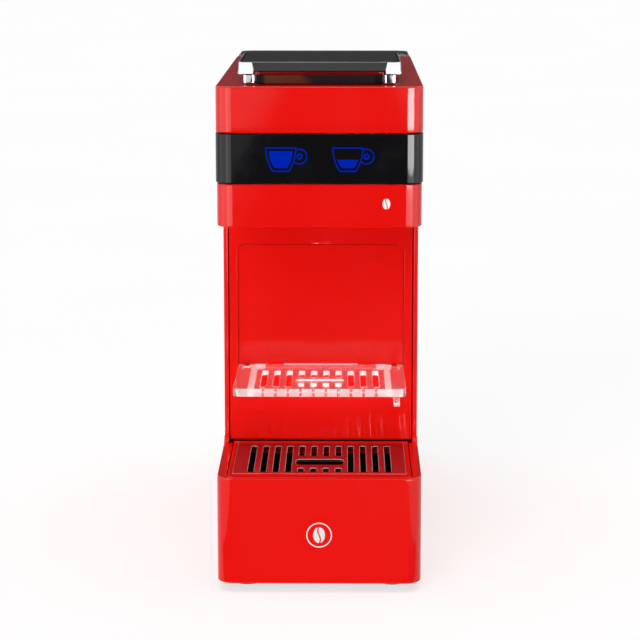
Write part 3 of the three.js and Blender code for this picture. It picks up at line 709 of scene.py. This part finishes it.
def plate(loops, low, high, edge):
    # a flat sheet with holes, every rim rounded, from a filled curve
    curve = bpy.data.curves.new("plate", "CURVE")
    curve.dimensions = "2D"
    curve.fill_mode = "BOTH"
    for points in loops:
        line = curve.splines.new("POLY")
        line.points.add(len(points) - 1)
        for spot, (u, v) in zip(line.points, points):
            spot.co = (u * mm, v * mm, 0, 1)
        line.use_cyclic_u = True
    curve.extrude = ((high - low) / 2 - edge) * mm
    curve.bevel_depth = edge * mm
    curve.bevel_resolution = 2
    curve.offset = -edge * mm
    drawn = newObject("plate", curve)
    mesh = resultMesh(drawn)
    bpy.data.objects.remove(drawn)
    mesh.transform(Matrix.Translation((0, 0, (low + high) / 2 * mm)))
    shape = bmesh.new()
    shape.from_mesh(mesh)
    bmesh.ops.remove_doubles(shape, verts=shape.verts, dist=0.003 * mm)
    return newPiece("plate", shape)


gridRows = {"front": 3.5, "back": 6.5, "long": 33.8, "cross": (15.2, 26.6), "short": (0.5, 8.2)}


def makeDripGrid():
    front = grid.y0 + gridRows["front"]
    back = grid.y1 - gridRows["back"]
    rows = {
        "full": (front, back),
        "rear": (front + gridRows["long"], back),
        "cross": [front + y for y in gridRows["cross"]],
        "front": [front + y for y in gridRows["short"]],
    }
    loops = [plan(grid.x1, grid.y0, grid.y1, 1.0, 1.0)]
    loops += slotLoops(12, slots["gridSlot"], slots["gridCross"], rows)
    sheet = plate(loops, grid.z0, grid.z1, slots["rim"])
    standIn(sheet, "drip_grid", gridSteel)
    sheet.data.materials.append(steelRimPaintedHighlight)
    sheet.data.materials.append(linerBlackAndSlotShade)
    for face in sheet.data.polygons:
        if abs(face.normal.z) < 0.5:
            face.material_index = 2  # the punched steel walls are painted black: painted shade
        elif abs(face.normal.z) < 0.9:
            # the rim bevels take the lighter steel: a painted highlight
            face.material_index = 1


makeTrayHousing()
makeDripTub()
makeDripGrid()
print("base made")


column = {"edge": 0.8, "boss": 3.8, "bossHeight": 11.0, "bossBore": 1.7, "panGap": 0.4, "ribHalf": 1.2}


def makeSideCovers():
    sheet = block(cheek.x1 - wall, cheek.x1, cheek.y0, cheek.y1, cheek.z0, cheek.z1, column["edge"])
    for end in ("front", "rear"):
        screw = span(f"pan_screw_{end}_right")
        x = (screw.x0 + screw.x1) / 2
        y = (screw.y0 + screw.y1) / 2
        low = span("base_pan").z1 + column["panGap"]
        high = low + column["bossHeight"]
        thin = column["ribHalf"]
        boss = rod(column["boss"], low, high, (x, y, 0))
        rib = block(x, cheek.x1 - wall + 0.2, y - thin, y + thin, low, high)
        hole = rod(column["bossBore"], low - 1, high - wall, (x, y, 0), steps=20)
        weld(sheet, boss, rib)
        carve(sheet, hole)
    other = mirrored(sheet, "left_side_cover_shell")
    standIn(sheet, "right_side_cover")
    standIn(other, "left_side_cover")


hingeBore = 1.3
panel = {
    "recessDepth": 1.2,
    "thickness": 3.6,
    "clearance": 0.4,
    "above": 3,
    "below": 2.7,
    "corners": (1, 1, 4, 4),
    "rim": 0.35,
    "groove": 0.5,
    "grooveDepth": 1.0,
    "scoop": (5.0, 1.6, 1.7),
    "lugHalf": 1.2,
    "lugRadius": 2.0,
    "lugCorner": 1.9,
    "lugX": 38.0,
}


def makeDrawerFront():
    front = door.y1 - panel["thickness"]
    face = block(door.x0, door.x1, front, door.y1, door.z0, door.z1, 0.5)
    floor = front + panel["recessDepth"]
    reach = shelfAxis[1] - shelf.y0
    top = shelfAxis[2] + reach + panel["above"]
    low = shelfAxis[2] - panel["below"]
    half = shelf.x1 + panel["clearance"]
    line = panel["groove"]
    around = outline(-half, half, low, top, panel["corners"], 8)
    recess = prism(around, front - beyond, floor, "y")
    # a fine relief groove where the recess meets its wall
    groove = prism(around, floor - 0.1, floor + panel["grooveDepth"], "y")
    corners = [radius - 0.3 for radius in panel["corners"]]
    within = outline(-half + line, half - line, low + line, top - line, corners, 8)
    carve(groove, prism(within, floor - 1, floor + 2, "y"))
    # a shallow finger scoop on the recess's upper edge
    turns = [math.pi / 2 * i / 8 for i in range(-7, 8)]
    bulge = [(0, -1), *[(math.cos(t), math.sin(t)) for t in turns], (0, 1)]
    scoop = turned(bulge, (0, 0, 0), "y", 48)
    scoop.data.transform(Matrix.Diagonal((*panel["scoop"], 1)))
    scoop.data.transform(Matrix.Translation(Vector((0, front, top + 0.3)) * mm))
    carve(face, recess, groove, scoop)
    softenAt(face, "y", front, panel["rim"])
    radius = panel["lugRadius"]
    corner = panel["lugCorner"]
    y, z = shelfAxis[1:]
    arm = outline(y - radius, floor + 0.5, z - radius, z + radius, [corner, 0, 0, corner], 8)
    for side in (-1, 1):
        x = side * panel["lugX"]
        lug = prism(arm, x - panel["lugHalf"], x + panel["lugHalf"], "x", 0.2)
        carve(lug, rod(hingeBore, x - 4, x + 4, shelfAxis, "x"))
        weld(face, lug)
    standIn(face, "drawer_front")


def splitAcross(piece, places):
    # extra edges across the mesh at these x, so that a face can take its own finish
    shape = bmesh.new()
    shape.from_mesh(piece.data)
    for x in places:
        everything = [*shape.verts, *shape.edges, *shape.faces]
        bmesh.ops.bisect_plane(shape, geom=everything, plane_co=(x * mm, 0, 0), plane_no=(1, 0, 0))
    shape.to_mesh(piece.data)
    shape.free()


tableShelf = {
    "slab": 2.6,
    "heel": 2,
    "skirt": 2.0,
    "ribX": 34.0,
    "ribHalf": 1.5,
    "tabHalf": 1.5,
    "tabLength": 15,
    "ridgeHalf": 19,
    "slotsFrom": 5.8,
    "full": 39.6,
    "long": 23,
    "cross": (13.4, 18.6),
    "short": 9,
    "gap": 0.7,  # half of the front's clear break below each slot
}


def makeShelf():
    heelRadius = tableShelf["heel"]
    top = shelfAxis[2] + heelRadius
    bottom = shelfAxis[2] - heelRadius
    under = top - tableShelf["slab"]
    axisY = shelfAxis[1]
    first = shelf.y0 + tableShelf["slotsFrom"]
    last = first + tableShelf["full"]
    rows = {
        "full": (first, last),
        "rear": (first + tableShelf["long"], last),
        "cross": [first + y for y in tableShelf["cross"]],
        "front": (first, first + tableShelf["short"]),
    }
    loops = [plan(shelf.x1, shelf.y0, axisY, 3.0, 0.6)]
    loops += slotLoops(10, slots["shelfSlot"], slots["shelfCross"], rows)
    slab = plate(loops, under, top, slots["rim"])
    frameRing = prism(plan(shelf.x1, shelf.y0, axisY, 3.0), bottom, under + 0.3, edge=0.25)
    inner = tableShelf["skirt"]
    within = plan(shelf.x1 - inner, shelf.y0 + inner, axisY - 4, 1.5, 0.5)
    carve(frameRing, prism(within, bottom - 1, top + 1))
    ribs = []
    thin = tableShelf["ribHalf"]
    for side in (-1, 1):
        x = side * tableShelf["ribX"]
        ribs.append(block(x - thin, x + thin, shelf.y0 + 1, axisY - 3, bottom, top - 2, 0.2))
    heel = rod(heelRadius, shelf.x0, shelf.x1, shelfAxis, "x")
    ridgeHalf = tableShelf["ridgeHalf"]
    ridge = block(-ridgeHalf, ridgeHalf, axisY - 1.2, axisY + 0.8, top - 1, top + 0.4, 0.3)
    tabEnd = shelf.y0 + tableShelf["tabLength"]
    tabOutline = outline(shelf.y0 + 0.4, tabEnd, shelf.z0, bottom + 0.6, [1.5, 4, 0, 0], 8)
    x = panel["lugX"]
    tab = prism(tabOutline, x - tableShelf["tabHalf"], x + tableShelf["tabHalf"], "x", 0.3)
    weld(slab, frameRing, *ribs, heel, ridge, tab)
    cuts = []
    half = panel["lugHalf"] + panel["clearance"]
    for side in (-1, 1):
        middle = side * panel["lugX"]
        cuts.append(block(middle - half, middle + half, axisY - 5.4, axisY + 5, bottom - 2, top + 2))
        cuts.append(rod(hingeBore, middle - 4.4, middle + 4.4, shelfAxis, "x"))
    carve(slab, *cuts)
    gap = tableShelf["gap"]
    columns = [(i - 4.5) * slots["pitch"] for i in range(10)]
    splitAcross(slab, [x + side * gap for x in columns for side in (-1, 1)])
    standIn(slab, "cup_shelf")
    slab.visible_shadow = False  # clear plastic leaves hardly any shadow
    slab.data.materials.append(frosted)
    for face in slab.data.polygons:
        spot = face.center / mm
        facing = face.normal
        offColumn = min(abs(spot.x - x) for x in columns) > gap
        besideRib = abs(abs(spot.x) - tableShelf["ribX"]) < thin + 0.2
        onRib = besideRib and bottom - 0.1 < spot.z < top - 1.8
        onRidge = abs(spot.x) < ridgeHalf + 0.1 and spot.z > top + 0.02
        onFront = spot.y < shelf.y0 + 0.5 and facing.y < -0.5 and spot.z > bottom and offColumn
        slotEnd = first < spot.y < axisY - 4 and facing.y < -0.3 and abs(facing.z) < 0.6
        if onRib or onRidge or onFront or slotEnd:
            face.material_index = 1


makeSideCovers()
makeDrawerFront()
makeShelf()
print("column made")


head = {
    "edge": 0.8,
    "groove": 228.1,
    "grooveHeight": 0.45,
    "grooveDepth": 0.4,
    "collarHalf": 31.0,
    "collarHeight": 5.8,
    "collarGap": 4,  # behind the window
    "collarRear": 3,
    "slotHalf": 24.0,
    "slotFront": 47,  # both measured forward of the lever's axis
    "slotRear": 9,
    "postX": 33.6,
    "postHalf": 1.8,
    "postDepth": 5.6,
    "postEye": 2.3,
    "spoutHole": 9.6,
}


def makeTopCover():
    edge = head["edge"]
    body = prism(plan(cover.x1, cover.y0, cover.y1, cornerRadius, 1), cover.z0, bodyTop, edge=edge)
    low = head["groove"]
    around = prism(plan(cover.x1 + 3, cover.y0 - 3, cover.y1 + 3, 11), low, low + head["grooveHeight"])
    depth = head["grooveDepth"]
    core = plan(cover.x1 - depth, cover.y0 + depth, cover.y1 - depth, cornerRadius - depth, 1)
    carve(around, prism(core, cover.z0, bodyTop))
    inside = plan(cover.x1 - wall, cover.y0 + wall, cover.y1 - wall, cornerRadius - wall)
    carve(body, around, prism(inside, cover.z0 - 1, bodyTop - wall))
    # the raised collar round the slot under the lever
    front = span("front_window").y1 + head["collarGap"]
    slotRear = leverAxis[1] - head["slotRear"]
    rear = slotRear + head["collarRear"]
    half = head["collarHalf"]
    collarTop = bodyTop + head["collarHeight"]
    weld(body, prism(plan(half, front, rear, 2, 2), bodyTop - 1, collarTop, edge=0.6))
    inner = half - wall
    under = block(-inner, inner, front + wall, rear - wall, bodyTop - wall - 1, collarTop - wall)
    slot = plan(head["slotHalf"], leverAxis[1] - head["slotFront"], slotRear, 1, 1)
    carve(body, under, prism(slot, bodyTop - 10, bodyTop + 10))
    thin = head["postHalf"]
    depths = (leverAxis[1] - head["postDepth"], leverAxis[1])
    for side in (-1, 1):
        x = side * head["postX"]
        post = block(x - thin, x + thin, *depths, bodyTop - 0.5, leverAxis[2])
        weld(post, rod(head["postEye"], x - thin, x + thin, leverAxis, "x"))
        carve(post, rod(pinBore, x - 3, x + 3, leverAxis, "x"))
        weld(body, post)
    standIn(body, "top_cover")


def hollowNose(box, low, high, thickness, radius, edge):
    # a wrap open to the rear: front and both sides
    shell = prism(plan(box.x1, box.y0, box.y1, radius), low, high, edge=edge)
    inner = plan(box.x1 - thickness, box.y0 + thickness, box.y1 + beyond, radius - thickness)
    return shell, inner


def makeBand():
    shell, inner = hollowNose(band, band.z0, band.z1, 2.2, cornerRadius, 0.5)
    carve(shell, prism(inner, band.z0 - 1, band.z1 + 1))
    standIn(shell, "touch_panel")


def makeLowerCover():
    shell, inner = hollowNose(chin, chin.z0, chin.z1, wall, cornerRadius, 0.7)
    wide = head["spoutHole"]
    narrow = wide - 0.6
    hole = [(0, -beyond), (wide, -beyond), (wide, 0.2), (narrow, 0.8), (narrow, 10), (0, 10)]
    carve(shell, prism(inner, chin.z0 + wall, chin.z1 + 1), turned(hole, (0, spoutY, chin.z0)))
    standIn(shell, "head_lower_cover")


makeTopCover()
makeBand()
makeLowerCover()
print("head made")


lever = {
    "under": 5.2,  # its underside above the cover
    "lipSlant": 8.0,
    "gripHalf": 32.0,
    "gripFlare": 1.6,
    "gripRise": 1.3,
    "gripReach": 11,
    "insertDepth": 1.4,
    "pocketGap": 0.3,
    "lipDepth": 2.1,
    "side": 1.2,
    "edge": 0.5,
    "insertEdge": 0.45,
    "earRadius": 3.4,
    "earHalf": 1.4,
}
leverBottom = bodyTop + lever["under"]


def leverSolid(bottom, edge):
    front, rear, top = leverBox.y0, leverBox.y1, leverBox.z1
    side = [(front, bottom), (rear, bottom), (rear, top), (front + lever["lipSlant"], top)]
    return prism(side, leverBox.x0, leverBox.x1, "x", edge)


def insertBlank(grow):
    # the black insert's blank; grow widens it into the frame's pocket
    bottom = leverBottom + lever["gripRise"] - grow
    slope = lever["lipSlant"] / (leverBox.z1 - leverBottom)
    depth = lever["insertDepth"] + grow
    reachOut = 2 if grow else 0

    def frontAt(z):
        return leverBox.y0 + (z - leverBottom) * slope

    flatLow = leverBox.z1 - depth
    topEdge = frontAt(leverBox.z1)
    front = leverBox.y0 + lever["lipSlant"] + 0.2 - grow
    rim = plan(leverBox.x1 - lever["side"] + grow, front, leverBox.y1 - 1 + grow, 1.5, 3)
    flat = prism(rim, flatLow, leverBox.z1 + reachOut)
    lip = lever["lipDepth"]
    profile = [
        (frontAt(bottom) - reachOut, bottom),
        (frontAt(bottom) + lip + grow, bottom),
        (frontAt(flatLow) + lip + grow, flatLow),
        (topEdge + 4, flatLow),
        (topEdge + 4, leverBox.z1),
        (topEdge - reachOut, leverBox.z1),
    ]
    low = lever["gripHalf"] - 0.6 + grow
    high = low + lever["gripFlare"]
    grip = prism(profile, -high - 1, high + 1, "x")
    flare = [(-low, bottom - 1), (low, bottom - 1), (high, leverBox.z1 + 3), (-high, leverBox.z1 + 3)]
    joined(grip, [prism(flare, leverBox.y0 - beyond, leverBox.y0 + 15, "y")], "INTERSECT")
    return weld(flat, grip)


def makeLever():
    body = leverSolid(leverBottom, lever["edge"])
    keep = prism(plan(leverBox.x1, leverBox.y0, leverBox.y1, 3, 4), leverBottom - 1, leverBox.z1 + 1)
    joined(body, [keep], "INTERSECT")
    half = lever["gripHalf"]
    inside = plan(leverBox.x1 - 2.8, leverBox.y0 + 10, leverBox.y1 - 1.8, 1, 2)
    room = prism(inside, bodyTop, leverBox.z1 - 2.7)
    reach = leverBox.y0 + lever["gripReach"]
    fingers = block(-half, half, leverBox.y0 - beyond, reach, bodyTop, leverBottom + lever["gripRise"])
    carve(body, room, fingers)
    thin = lever["earHalf"]
    for side in (-1, 1):
        x = side * (leverBox.x1 - thin)
        weld(body, rod(lever["earRadius"], x - thin, x + thin, leverAxis, "x"))
    bore = rod(pinBore, leverBox.x0 - 1, leverBox.x1 + 1, leverAxis, "x")
    carve(body, insertBlank(lever["pocketGap"]), bore)
    standIn(body, "lever_frame")

    insert = leverSolid(leverBottom, 0.0)
    joined(insert, [insertBlank(0.0)], "INTERSECT")
    shape = opened(insert, 0.01)
    roundEdges(shape, lever["insertEdge"], 30)
    closed(insert, shape)
    standIn(insert, "lever_insert")
    # the fold between the lip and the flat top is painted a lighter grey: a painted highlight
    insert.data.materials.append(paintedFoldHighlight)
    for face in insert.data.polygons:
        if 0.86 < face.normal.z < 0.99 and face.normal.y < -0.05 and abs(face.normal.x) < 0.05:
            face.material_index = 1


def makeRests():
    for side in ("left", "right"):
        rest = span(f"lever_rest_{side}")
        points = outline(rest.x0, rest.x1, rest.y0, rest.y1, 1.2, 6)
        standIn(prism(points, rest.z0, rest.z1, edge=0.35), f"lever_rest_{side}")
    pane = span("front_window")
    points = outline(pane.x0, pane.x1, pane.z0, pane.z1, 0.8, 6)
    standIn(prism(points, pane.y0, pane.y1, "y", 0.3), "front_window", windowGlass)


makeLever()
makeRests()
print("lever made")


tank = {
    "wall": 2.0,
    "floor": 2.5,
    "mouth": 12.0,  # depth of the filling strip in front of the lid
    "gap": 0.4,
    "nozzle": 7,
    "nozzleBore": 3.4,
    "nozzleAt": 24,
}


def makeTank():
    box = span("water_tank")
    rim = lid.z0 - 0.3
    low = span("tank_dock").z1 + tank["gap"]
    thick = tank["wall"]
    mouth = box.y0 + tank["mouth"]
    shell = prism(plan(box.x1, box.y0, box.y1, 3, cornerRadius), low, rim, edge=0.5)
    strip = prism(plan(box.x1, box.y0, mouth, 3), rim - 2, bodyTop, edge=0.4)
    weld(shell, strip)
    centre = (0, box.y0 + tank["nozzleAt"], 0)
    nozzle = rod(tank["nozzle"], box.z0, low + 1, centre)
    inside = plan(box.x1 - thick, box.y0 + thick, box.y1 - thick, 2, cornerRadius - thick)
    floor = low + tank["floor"]
    room = prism(inside, floor, rim + 1)
    behind = block(-60, 60, mouth, box.y1 + beyond, rim - 3, rim + 2)
    half = box.x1 - thick
    stripRoom = block(-half, half, box.y0 + thick, mouth - 2, rim - 3, bodyTop - 2)
    # the room's roof under the strip is cut by stripRoom alone
    roomLow = prism(inside, floor, rim - 2)
    joined(room, [behind], "INTERSECT")
    carve(shell, roomLow, room, stripRoom)
    weld(shell, nozzle)
    carve(shell, rod(tank["nozzleBore"], box.z0 - 3, low + 6, centre))
    standIn(shell, "water_tank")
    shell.visible_shadow = False


def makeLid():
    radius = (lid.z1 - lid.z0) / 2
    sheet = prism(plan(lid.x1, lid.y0 + radius, lid.y1, 0, cornerRadius), lid.z0, lid.z1, edge=0.5)
    nose = rod(radius, lid.x0, lid.x1, (0, lid.y0 + radius, lid.z1 - radius), "x")
    weld(sheet, nose)
    standIn(sheet, "tank_lid")


dock = {
    "edge": 0.6,
    "roof": 7,
    "sealHole": 8.6,
    "glandHole": 5.8,
    "switchHalf": (10, 6),
    "hoseHalf": 6,
    "hoseLow": 10,
}


def makeDock():
    box = span("tank_dock")
    body = prism(plan(box.x1, box.y0, box.y1, 0, cornerRadius), box.z0, box.z1, edge=dock["edge"])
    seal = span("tank_seal")
    gland = span("cord_gland")
    switch = span("switch_frame")
    sealAt = (0, (seal.y0 + seal.y1) / 2, 0)
    glandAt = ((gland.x0 + gland.x1) / 2, 0, (gland.z0 + gland.z1) / 2)
    x = (switch.x0 + switch.x1) / 2
    z = (switch.z0 + switch.z1) / 2
    wide, tall = dock["switchHalf"]
    front = box.y1 - 6
    rear = box.y1 + 3
    under = box.z1 - dock["roof"]
    inside = plan(box.x1 - wall, box.y0 - 1, box.y1 - wall, 0, cornerRadius - wall)
    narrow = dock["hoseHalf"]
    carve(
        body,
        prism(inside, box.z0 - 1, under),
        rod(dock["sealHole"], 0, box.z1 + 1, sealAt),
        rod(dock["glandHole"], front, rear, glandAt, "y"),
        block(x - wide, x + wide, front, rear, z - tall, z + tall),
        block(-narrow, narrow, box.y0 - 2, box.y0 + 2, dock["hoseLow"], under),
    )
    standIn(body, "tank_dock")


makeTank()
makeLid()
makeDock()
print("tank made")


# printed marks: two cups on the band, a bean on the head and on the base
cupMark = {
    "centre": 213.1,
    "left": -15.8,
    "right": 16.3,
    "height": 11.8,
    "topWidth": 15.0,
    "footWidth": 8.0,
    "shift": -2.6,  # of the bowl, to leave room for its handle
    "halfFull": 0.4,  # the half cup's level above its middle
    "handle": 3.85,
    "handleAt": (1.4, 1.5),
    "eye": (1.5, 0.65),
    "line": 0.62,
    "gap": 1.2,
    "raised": 0.06,
}


def decal(points, front, holes=()):
    # a thin raised print on a front face
    piece = prism(points, front - cupMark["raised"], front + 0.3, "y", name="decal")
    if holes:
        carve(piece, *[prism(h, front - 2, front + 2, "y") for h in holes])
    return piece


def bowl(cx, cz, inset, top=None):
    # a tapered cup outline, rounded towards its foot, moved inwards by inset
    low = cz - cupMark["height"] / 2 + inset
    high = cz + cupMark["height"] / 2 - inset if top is None else top
    halfTop = cupMark["topWidth"] / 2 - inset
    halfFoot = cupMark["footWidth"] / 2 - inset * 0.6
    side = []
    for i in range(11):
        rise = i / 10
        width = halfFoot + (halfTop - halfFoot) * math.sin(rise * math.pi / 2) ** 0.8
        level = low + rise * (cupMark["height"] - 2 * inset)
        if level > high:
            break
        side.append((width, level))
    return [(cx + w, z) for w, z in side] + [(cx - w, z) for w, z in reversed(side)]


def makeCup(cx, filled, name):
    cz = cupMark["centre"]
    line = cupMark["line"]
    middle = cx + cupMark["shift"]
    cup = decal(bowl(middle, cz, 0), band.y0, [bowl(middle, cz, line)])
    level = None if filled else cz + cupMark["halfFull"]
    filling = decal(bowl(middle, cz, line + cupMark["gap"], level), band.y0)
    # the ring handle starts outside the bowl, with a small eye in it
    out, rise = cupMark["handleAt"]
    centre = (middle + cupMark["topWidth"] / 2 + out, cz + rise)
    radii = (cupMark["handle"], cupMark["handle"] - line, *cupMark["eye"])
    hoops = [arc(*centre, radius, 0, 350, 35) for radius in radii]
    handle = decal(hoops[0], band.y0, [hoops[1], bowl(middle, cz, line / 2)])
    weld(cup, handle, decal(hoops[2], band.y0, [hoops[3]]), filling)
    cup.name = name
    tidy(cup)
    dress(cup, bluePrint, bodyOf["touch_panel"])


beanMark = {
    "halfWidth": 0.36,  # these are parts of the bean's height
    "wave": 0.08,
    "furrowHalf": 0.045,
    "furrowReach": 0.56,
    "ringLine": 0.55,
    "headAt": (32.3, 56.3),  # sideways, and down from the top
    "headSize": 5.2,
}


def makeBean(cx, cz, front, size, name, ring=0.0):
    # an upright oval with a wavy furrow, alone or in a thin ring
    turns = [2 * math.pi * i / 36 for i in range(36)]
    half = beanMark["halfWidth"] * size
    thin = beanMark["furrowHalf"]
    reach = beanMark["furrowReach"]
    oval = [(cx + half * math.cos(t), cz + 0.5 * size * math.sin(t)) for t in turns]
    steps = range(13)
    wave = [(beanMark["wave"] * math.sin(i * math.pi / 6), -reach + 2 * reach * i / 12) for i in steps]
    furrow = [(cx + (u + thin) * size, cz + v * size) for u, v in wave]
    furrow += [(cx + (u - thin) * size, cz + v * size) for u, v in reversed(wave)]
    piece = decal(oval, front, [furrow])
    if ring:
        radii = (ring, ring - beanMark["ringLine"])
        rings = [[(cx + r * math.cos(t), cz + r * math.sin(t)) for t in turns] for r in radii]
        weld(piece, decal(rings[0], front, [rings[1]]))
    piece.name = name
    tidy(piece)
    return piece


makeCup(cupMark["left"], True, "icon_full_cup")
makeCup(cupMark["right"], False, "icon_half_cup")
across, down = beanMark["headAt"]
headMark = makeBean(across, bodyTop - down, chin.y0, beanMark["headSize"], "head_bean_mark")
dress(headMark, whitePrint, bodyOf["head_lower_cover"])
sunk = tray.y0 + cupMark["raised"] + 0.04  # the roundel stays behind the front plane
baseMark = makeBean(0, baseMarkAt["z"], sunk, baseMarkAt["bean"], "base_bean_mark", baseMarkAt["ring"])
dress(baseMark, whitePrint, bodyOf["tray_housing"])
print("marks made")


def keepNode(node):
    # a node that keeps its own solid takes its finish and smooth shading
    piece = frame["nodes"][node]
    for place in piece.material_slots:
        place.material = finishes[slotOf[node]]
    smoothed(piece)


replaced = {n for piece in bpy.context.scene.objects for n in piece.get("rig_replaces", [])}
for node in frame["nodes"]:
    if node not in replaced:
        keepNode(node)
print("kept nodes dressed")


studio = {
    "world": 0.06,
    "floorHalf": 14000,
    "floorGlow": 0.68,
    "sunTop": (0, 86, 1.55, 70),  # azimuth, elevation, strength, spread
    "sunFront": (-20, 17, 1.36, 40),
    "cardHalf": 130,
    "cardReach": 9000,
    "flagGlow": 0.5,
    "flagAt": -123,
    "flagGap": 3.5,
    "flagReach": 190,
    "flagHeight": 300,
}
softboxes = {  # in metres: place, aim, width, height, then radiance
    "leftPanel": ((-0.62, -0.35, 0.45), (0, -0.1, 0.4), 1.1, 0.88, 1.6),
    "leftStrip": ((-0.42, -0.95, 0.46), (-0.04, -0.14, 0.42), 0.60, 0.90, 2.4),
    "rightPanel": ((0.70, -0.30, 0.45), (0, -0.05, 0.4), 1.2, 0.88, 1.6),
    "rightStrip": ((0.38, -0.77, 0.205), (0.04, -0.14, 0.205), 0.58, 0.17, 24.0),
    "rightLow": ((0.38, -0.77, 0.06), (0.04, -0.14, 0.06), 0.58, 0.11, 3.0),
    "rear": ((0.0, 1.2, 1.15), (0, 0, 0.2), 1.8, 0.7, 2.0),
}


def floorLook(place):
    cloud = place.noise(3, 3)
    return {
        "Base Color": cloud.tint((0.43, 0.43, 0.435), (0.47, 0.47, 0.47)),
        "Roughness": 0.55 + 0.1 * cloud,
    }


def glowing(name, strength, **plain):
    # the floor's pale finish with a glow of its own, not sampled as a lamp
    white = (1, 1, 1, 1)
    pale = finish(name, floorLook, Emission_Color=white, Emission_Strength=strength, **plain)
    pale.cycles.emission_sampling = "NONE"
    return pale


def makeFloor():
    half = studio["floorHalf"]
    floor = block(-half, half, -half, half, -20, 0, name="floor")
    floor.data.materials.append(glowing("paleFloor", studio["floorGlow"], Specular_IOR_Level=0.0))


def addLamp(name, kind, place, aim):
    holder = newObject(name, bpy.data.lights.new(name, kind))
    holder.location = place
    holder.rotation_euler = (Vector(aim) - Vector(place)).to_track_quat("-Z", "Y").to_euler()
    holder.visible_camera = False
    return holder


def softbox(name, place, aim, width, height, radiance):
    # a box of light for gloss and clear plastic only
    holder = addLamp(name, "AREA", place, aim)
    holder.data.shape = "RECTANGLE"
    holder.data.size = width
    holder.data.size_y = height
    holder.data.energy = radiance * math.pi * width * height
    holder.visible_diffuse = False


def sun(name, azimuth, elevation, strength, spread):
    turn = math.radians(azimuth)
    rise = math.radians(elevation)
    level = math.cos(rise)
    away = Vector((math.sin(turn) * level, -math.cos(turn) * level, math.sin(rise)))
    holder = addLamp(name, "SUN", away * 3, (0, 0, 0))
    holder.data.energy = strength
    holder.data.angle = math.radians(spread)
    return holder


def glossOnly(card, *others):
    # only reflections see the card, and the other rays that are named
    for ray in ("camera", "diffuse", "transmission", "volume_scatter", "shadow"):
        setattr(card, "visible_" + ray, ray in others)


def makeStudio():
    world = bpy.data.worlds.new("studio")
    world.use_nodes = True
    glow = world.node_tree.nodes["Background"]
    glow.inputs["Color"].default_value = (1, 1, 1, 1)
    glow.inputs["Strength"].default_value = studio["world"]
    bpy.context.scene.world = world
    sun("sunTop", *studio["sunTop"])
    sun("sunFront", *studio["sunFront"]).visible_glossy = False
    for name, settings in softboxes.items():
        softbox(name, *settings)
    # a dark card before the machine keeps the floor out of its front faces
    half = studio["cardHalf"]
    card = block(-half, half, -studio["cardReach"], tray.y0 - beyond, 0.5, 1.0, name="darkCard")
    card.data.materials.append(toned("darkCard", grainLook))
    glossOnly(card, "transmission")
    # a pale flag on each side keeps the front boxes out of the side covers
    near = cheek.x1 + studio["flagGap"]
    far = cheek.x1 + studio["flagReach"]
    front = studio["flagAt"]
    for low, high in ((-far, -near), (near, far)):
        flag = block(low, high, front, front + 0.5, 0.5, studio["flagHeight"], name="paleFlag")
        flag.data.materials.append(glowing("paleFlag", studio["flagGlow"]))
        glossOnly(flag)


view = {
    "side": 12.37,
    "distance": 1078.07,  # in front of the tray
    "above": 83.31,  # above the head's top
    "lens": 128.01,
    "sensor": 36,
    "down": 10.241,
    "left": 0.633,
}


def makeCamera():
    data = bpy.data.cameras.new("camera")
    data.lens = view["lens"]
    data.sensor_width = view["sensor"]
    camera = newObject("camera", data)
    y = tray.y0 - view["distance"]
    z = bodyTop + view["above"]
    camera.location = (view["side"] * mm, y * mm, z * mm)
    camera.rotation_euler = (math.radians(90 - view["down"]), 0, math.radians(view["left"]))
    bpy.context.scene.camera = camera


makeFloor()
makeStudio()
makeCamera()
bpy.context.scene.view_settings.view_transform = "Standard"
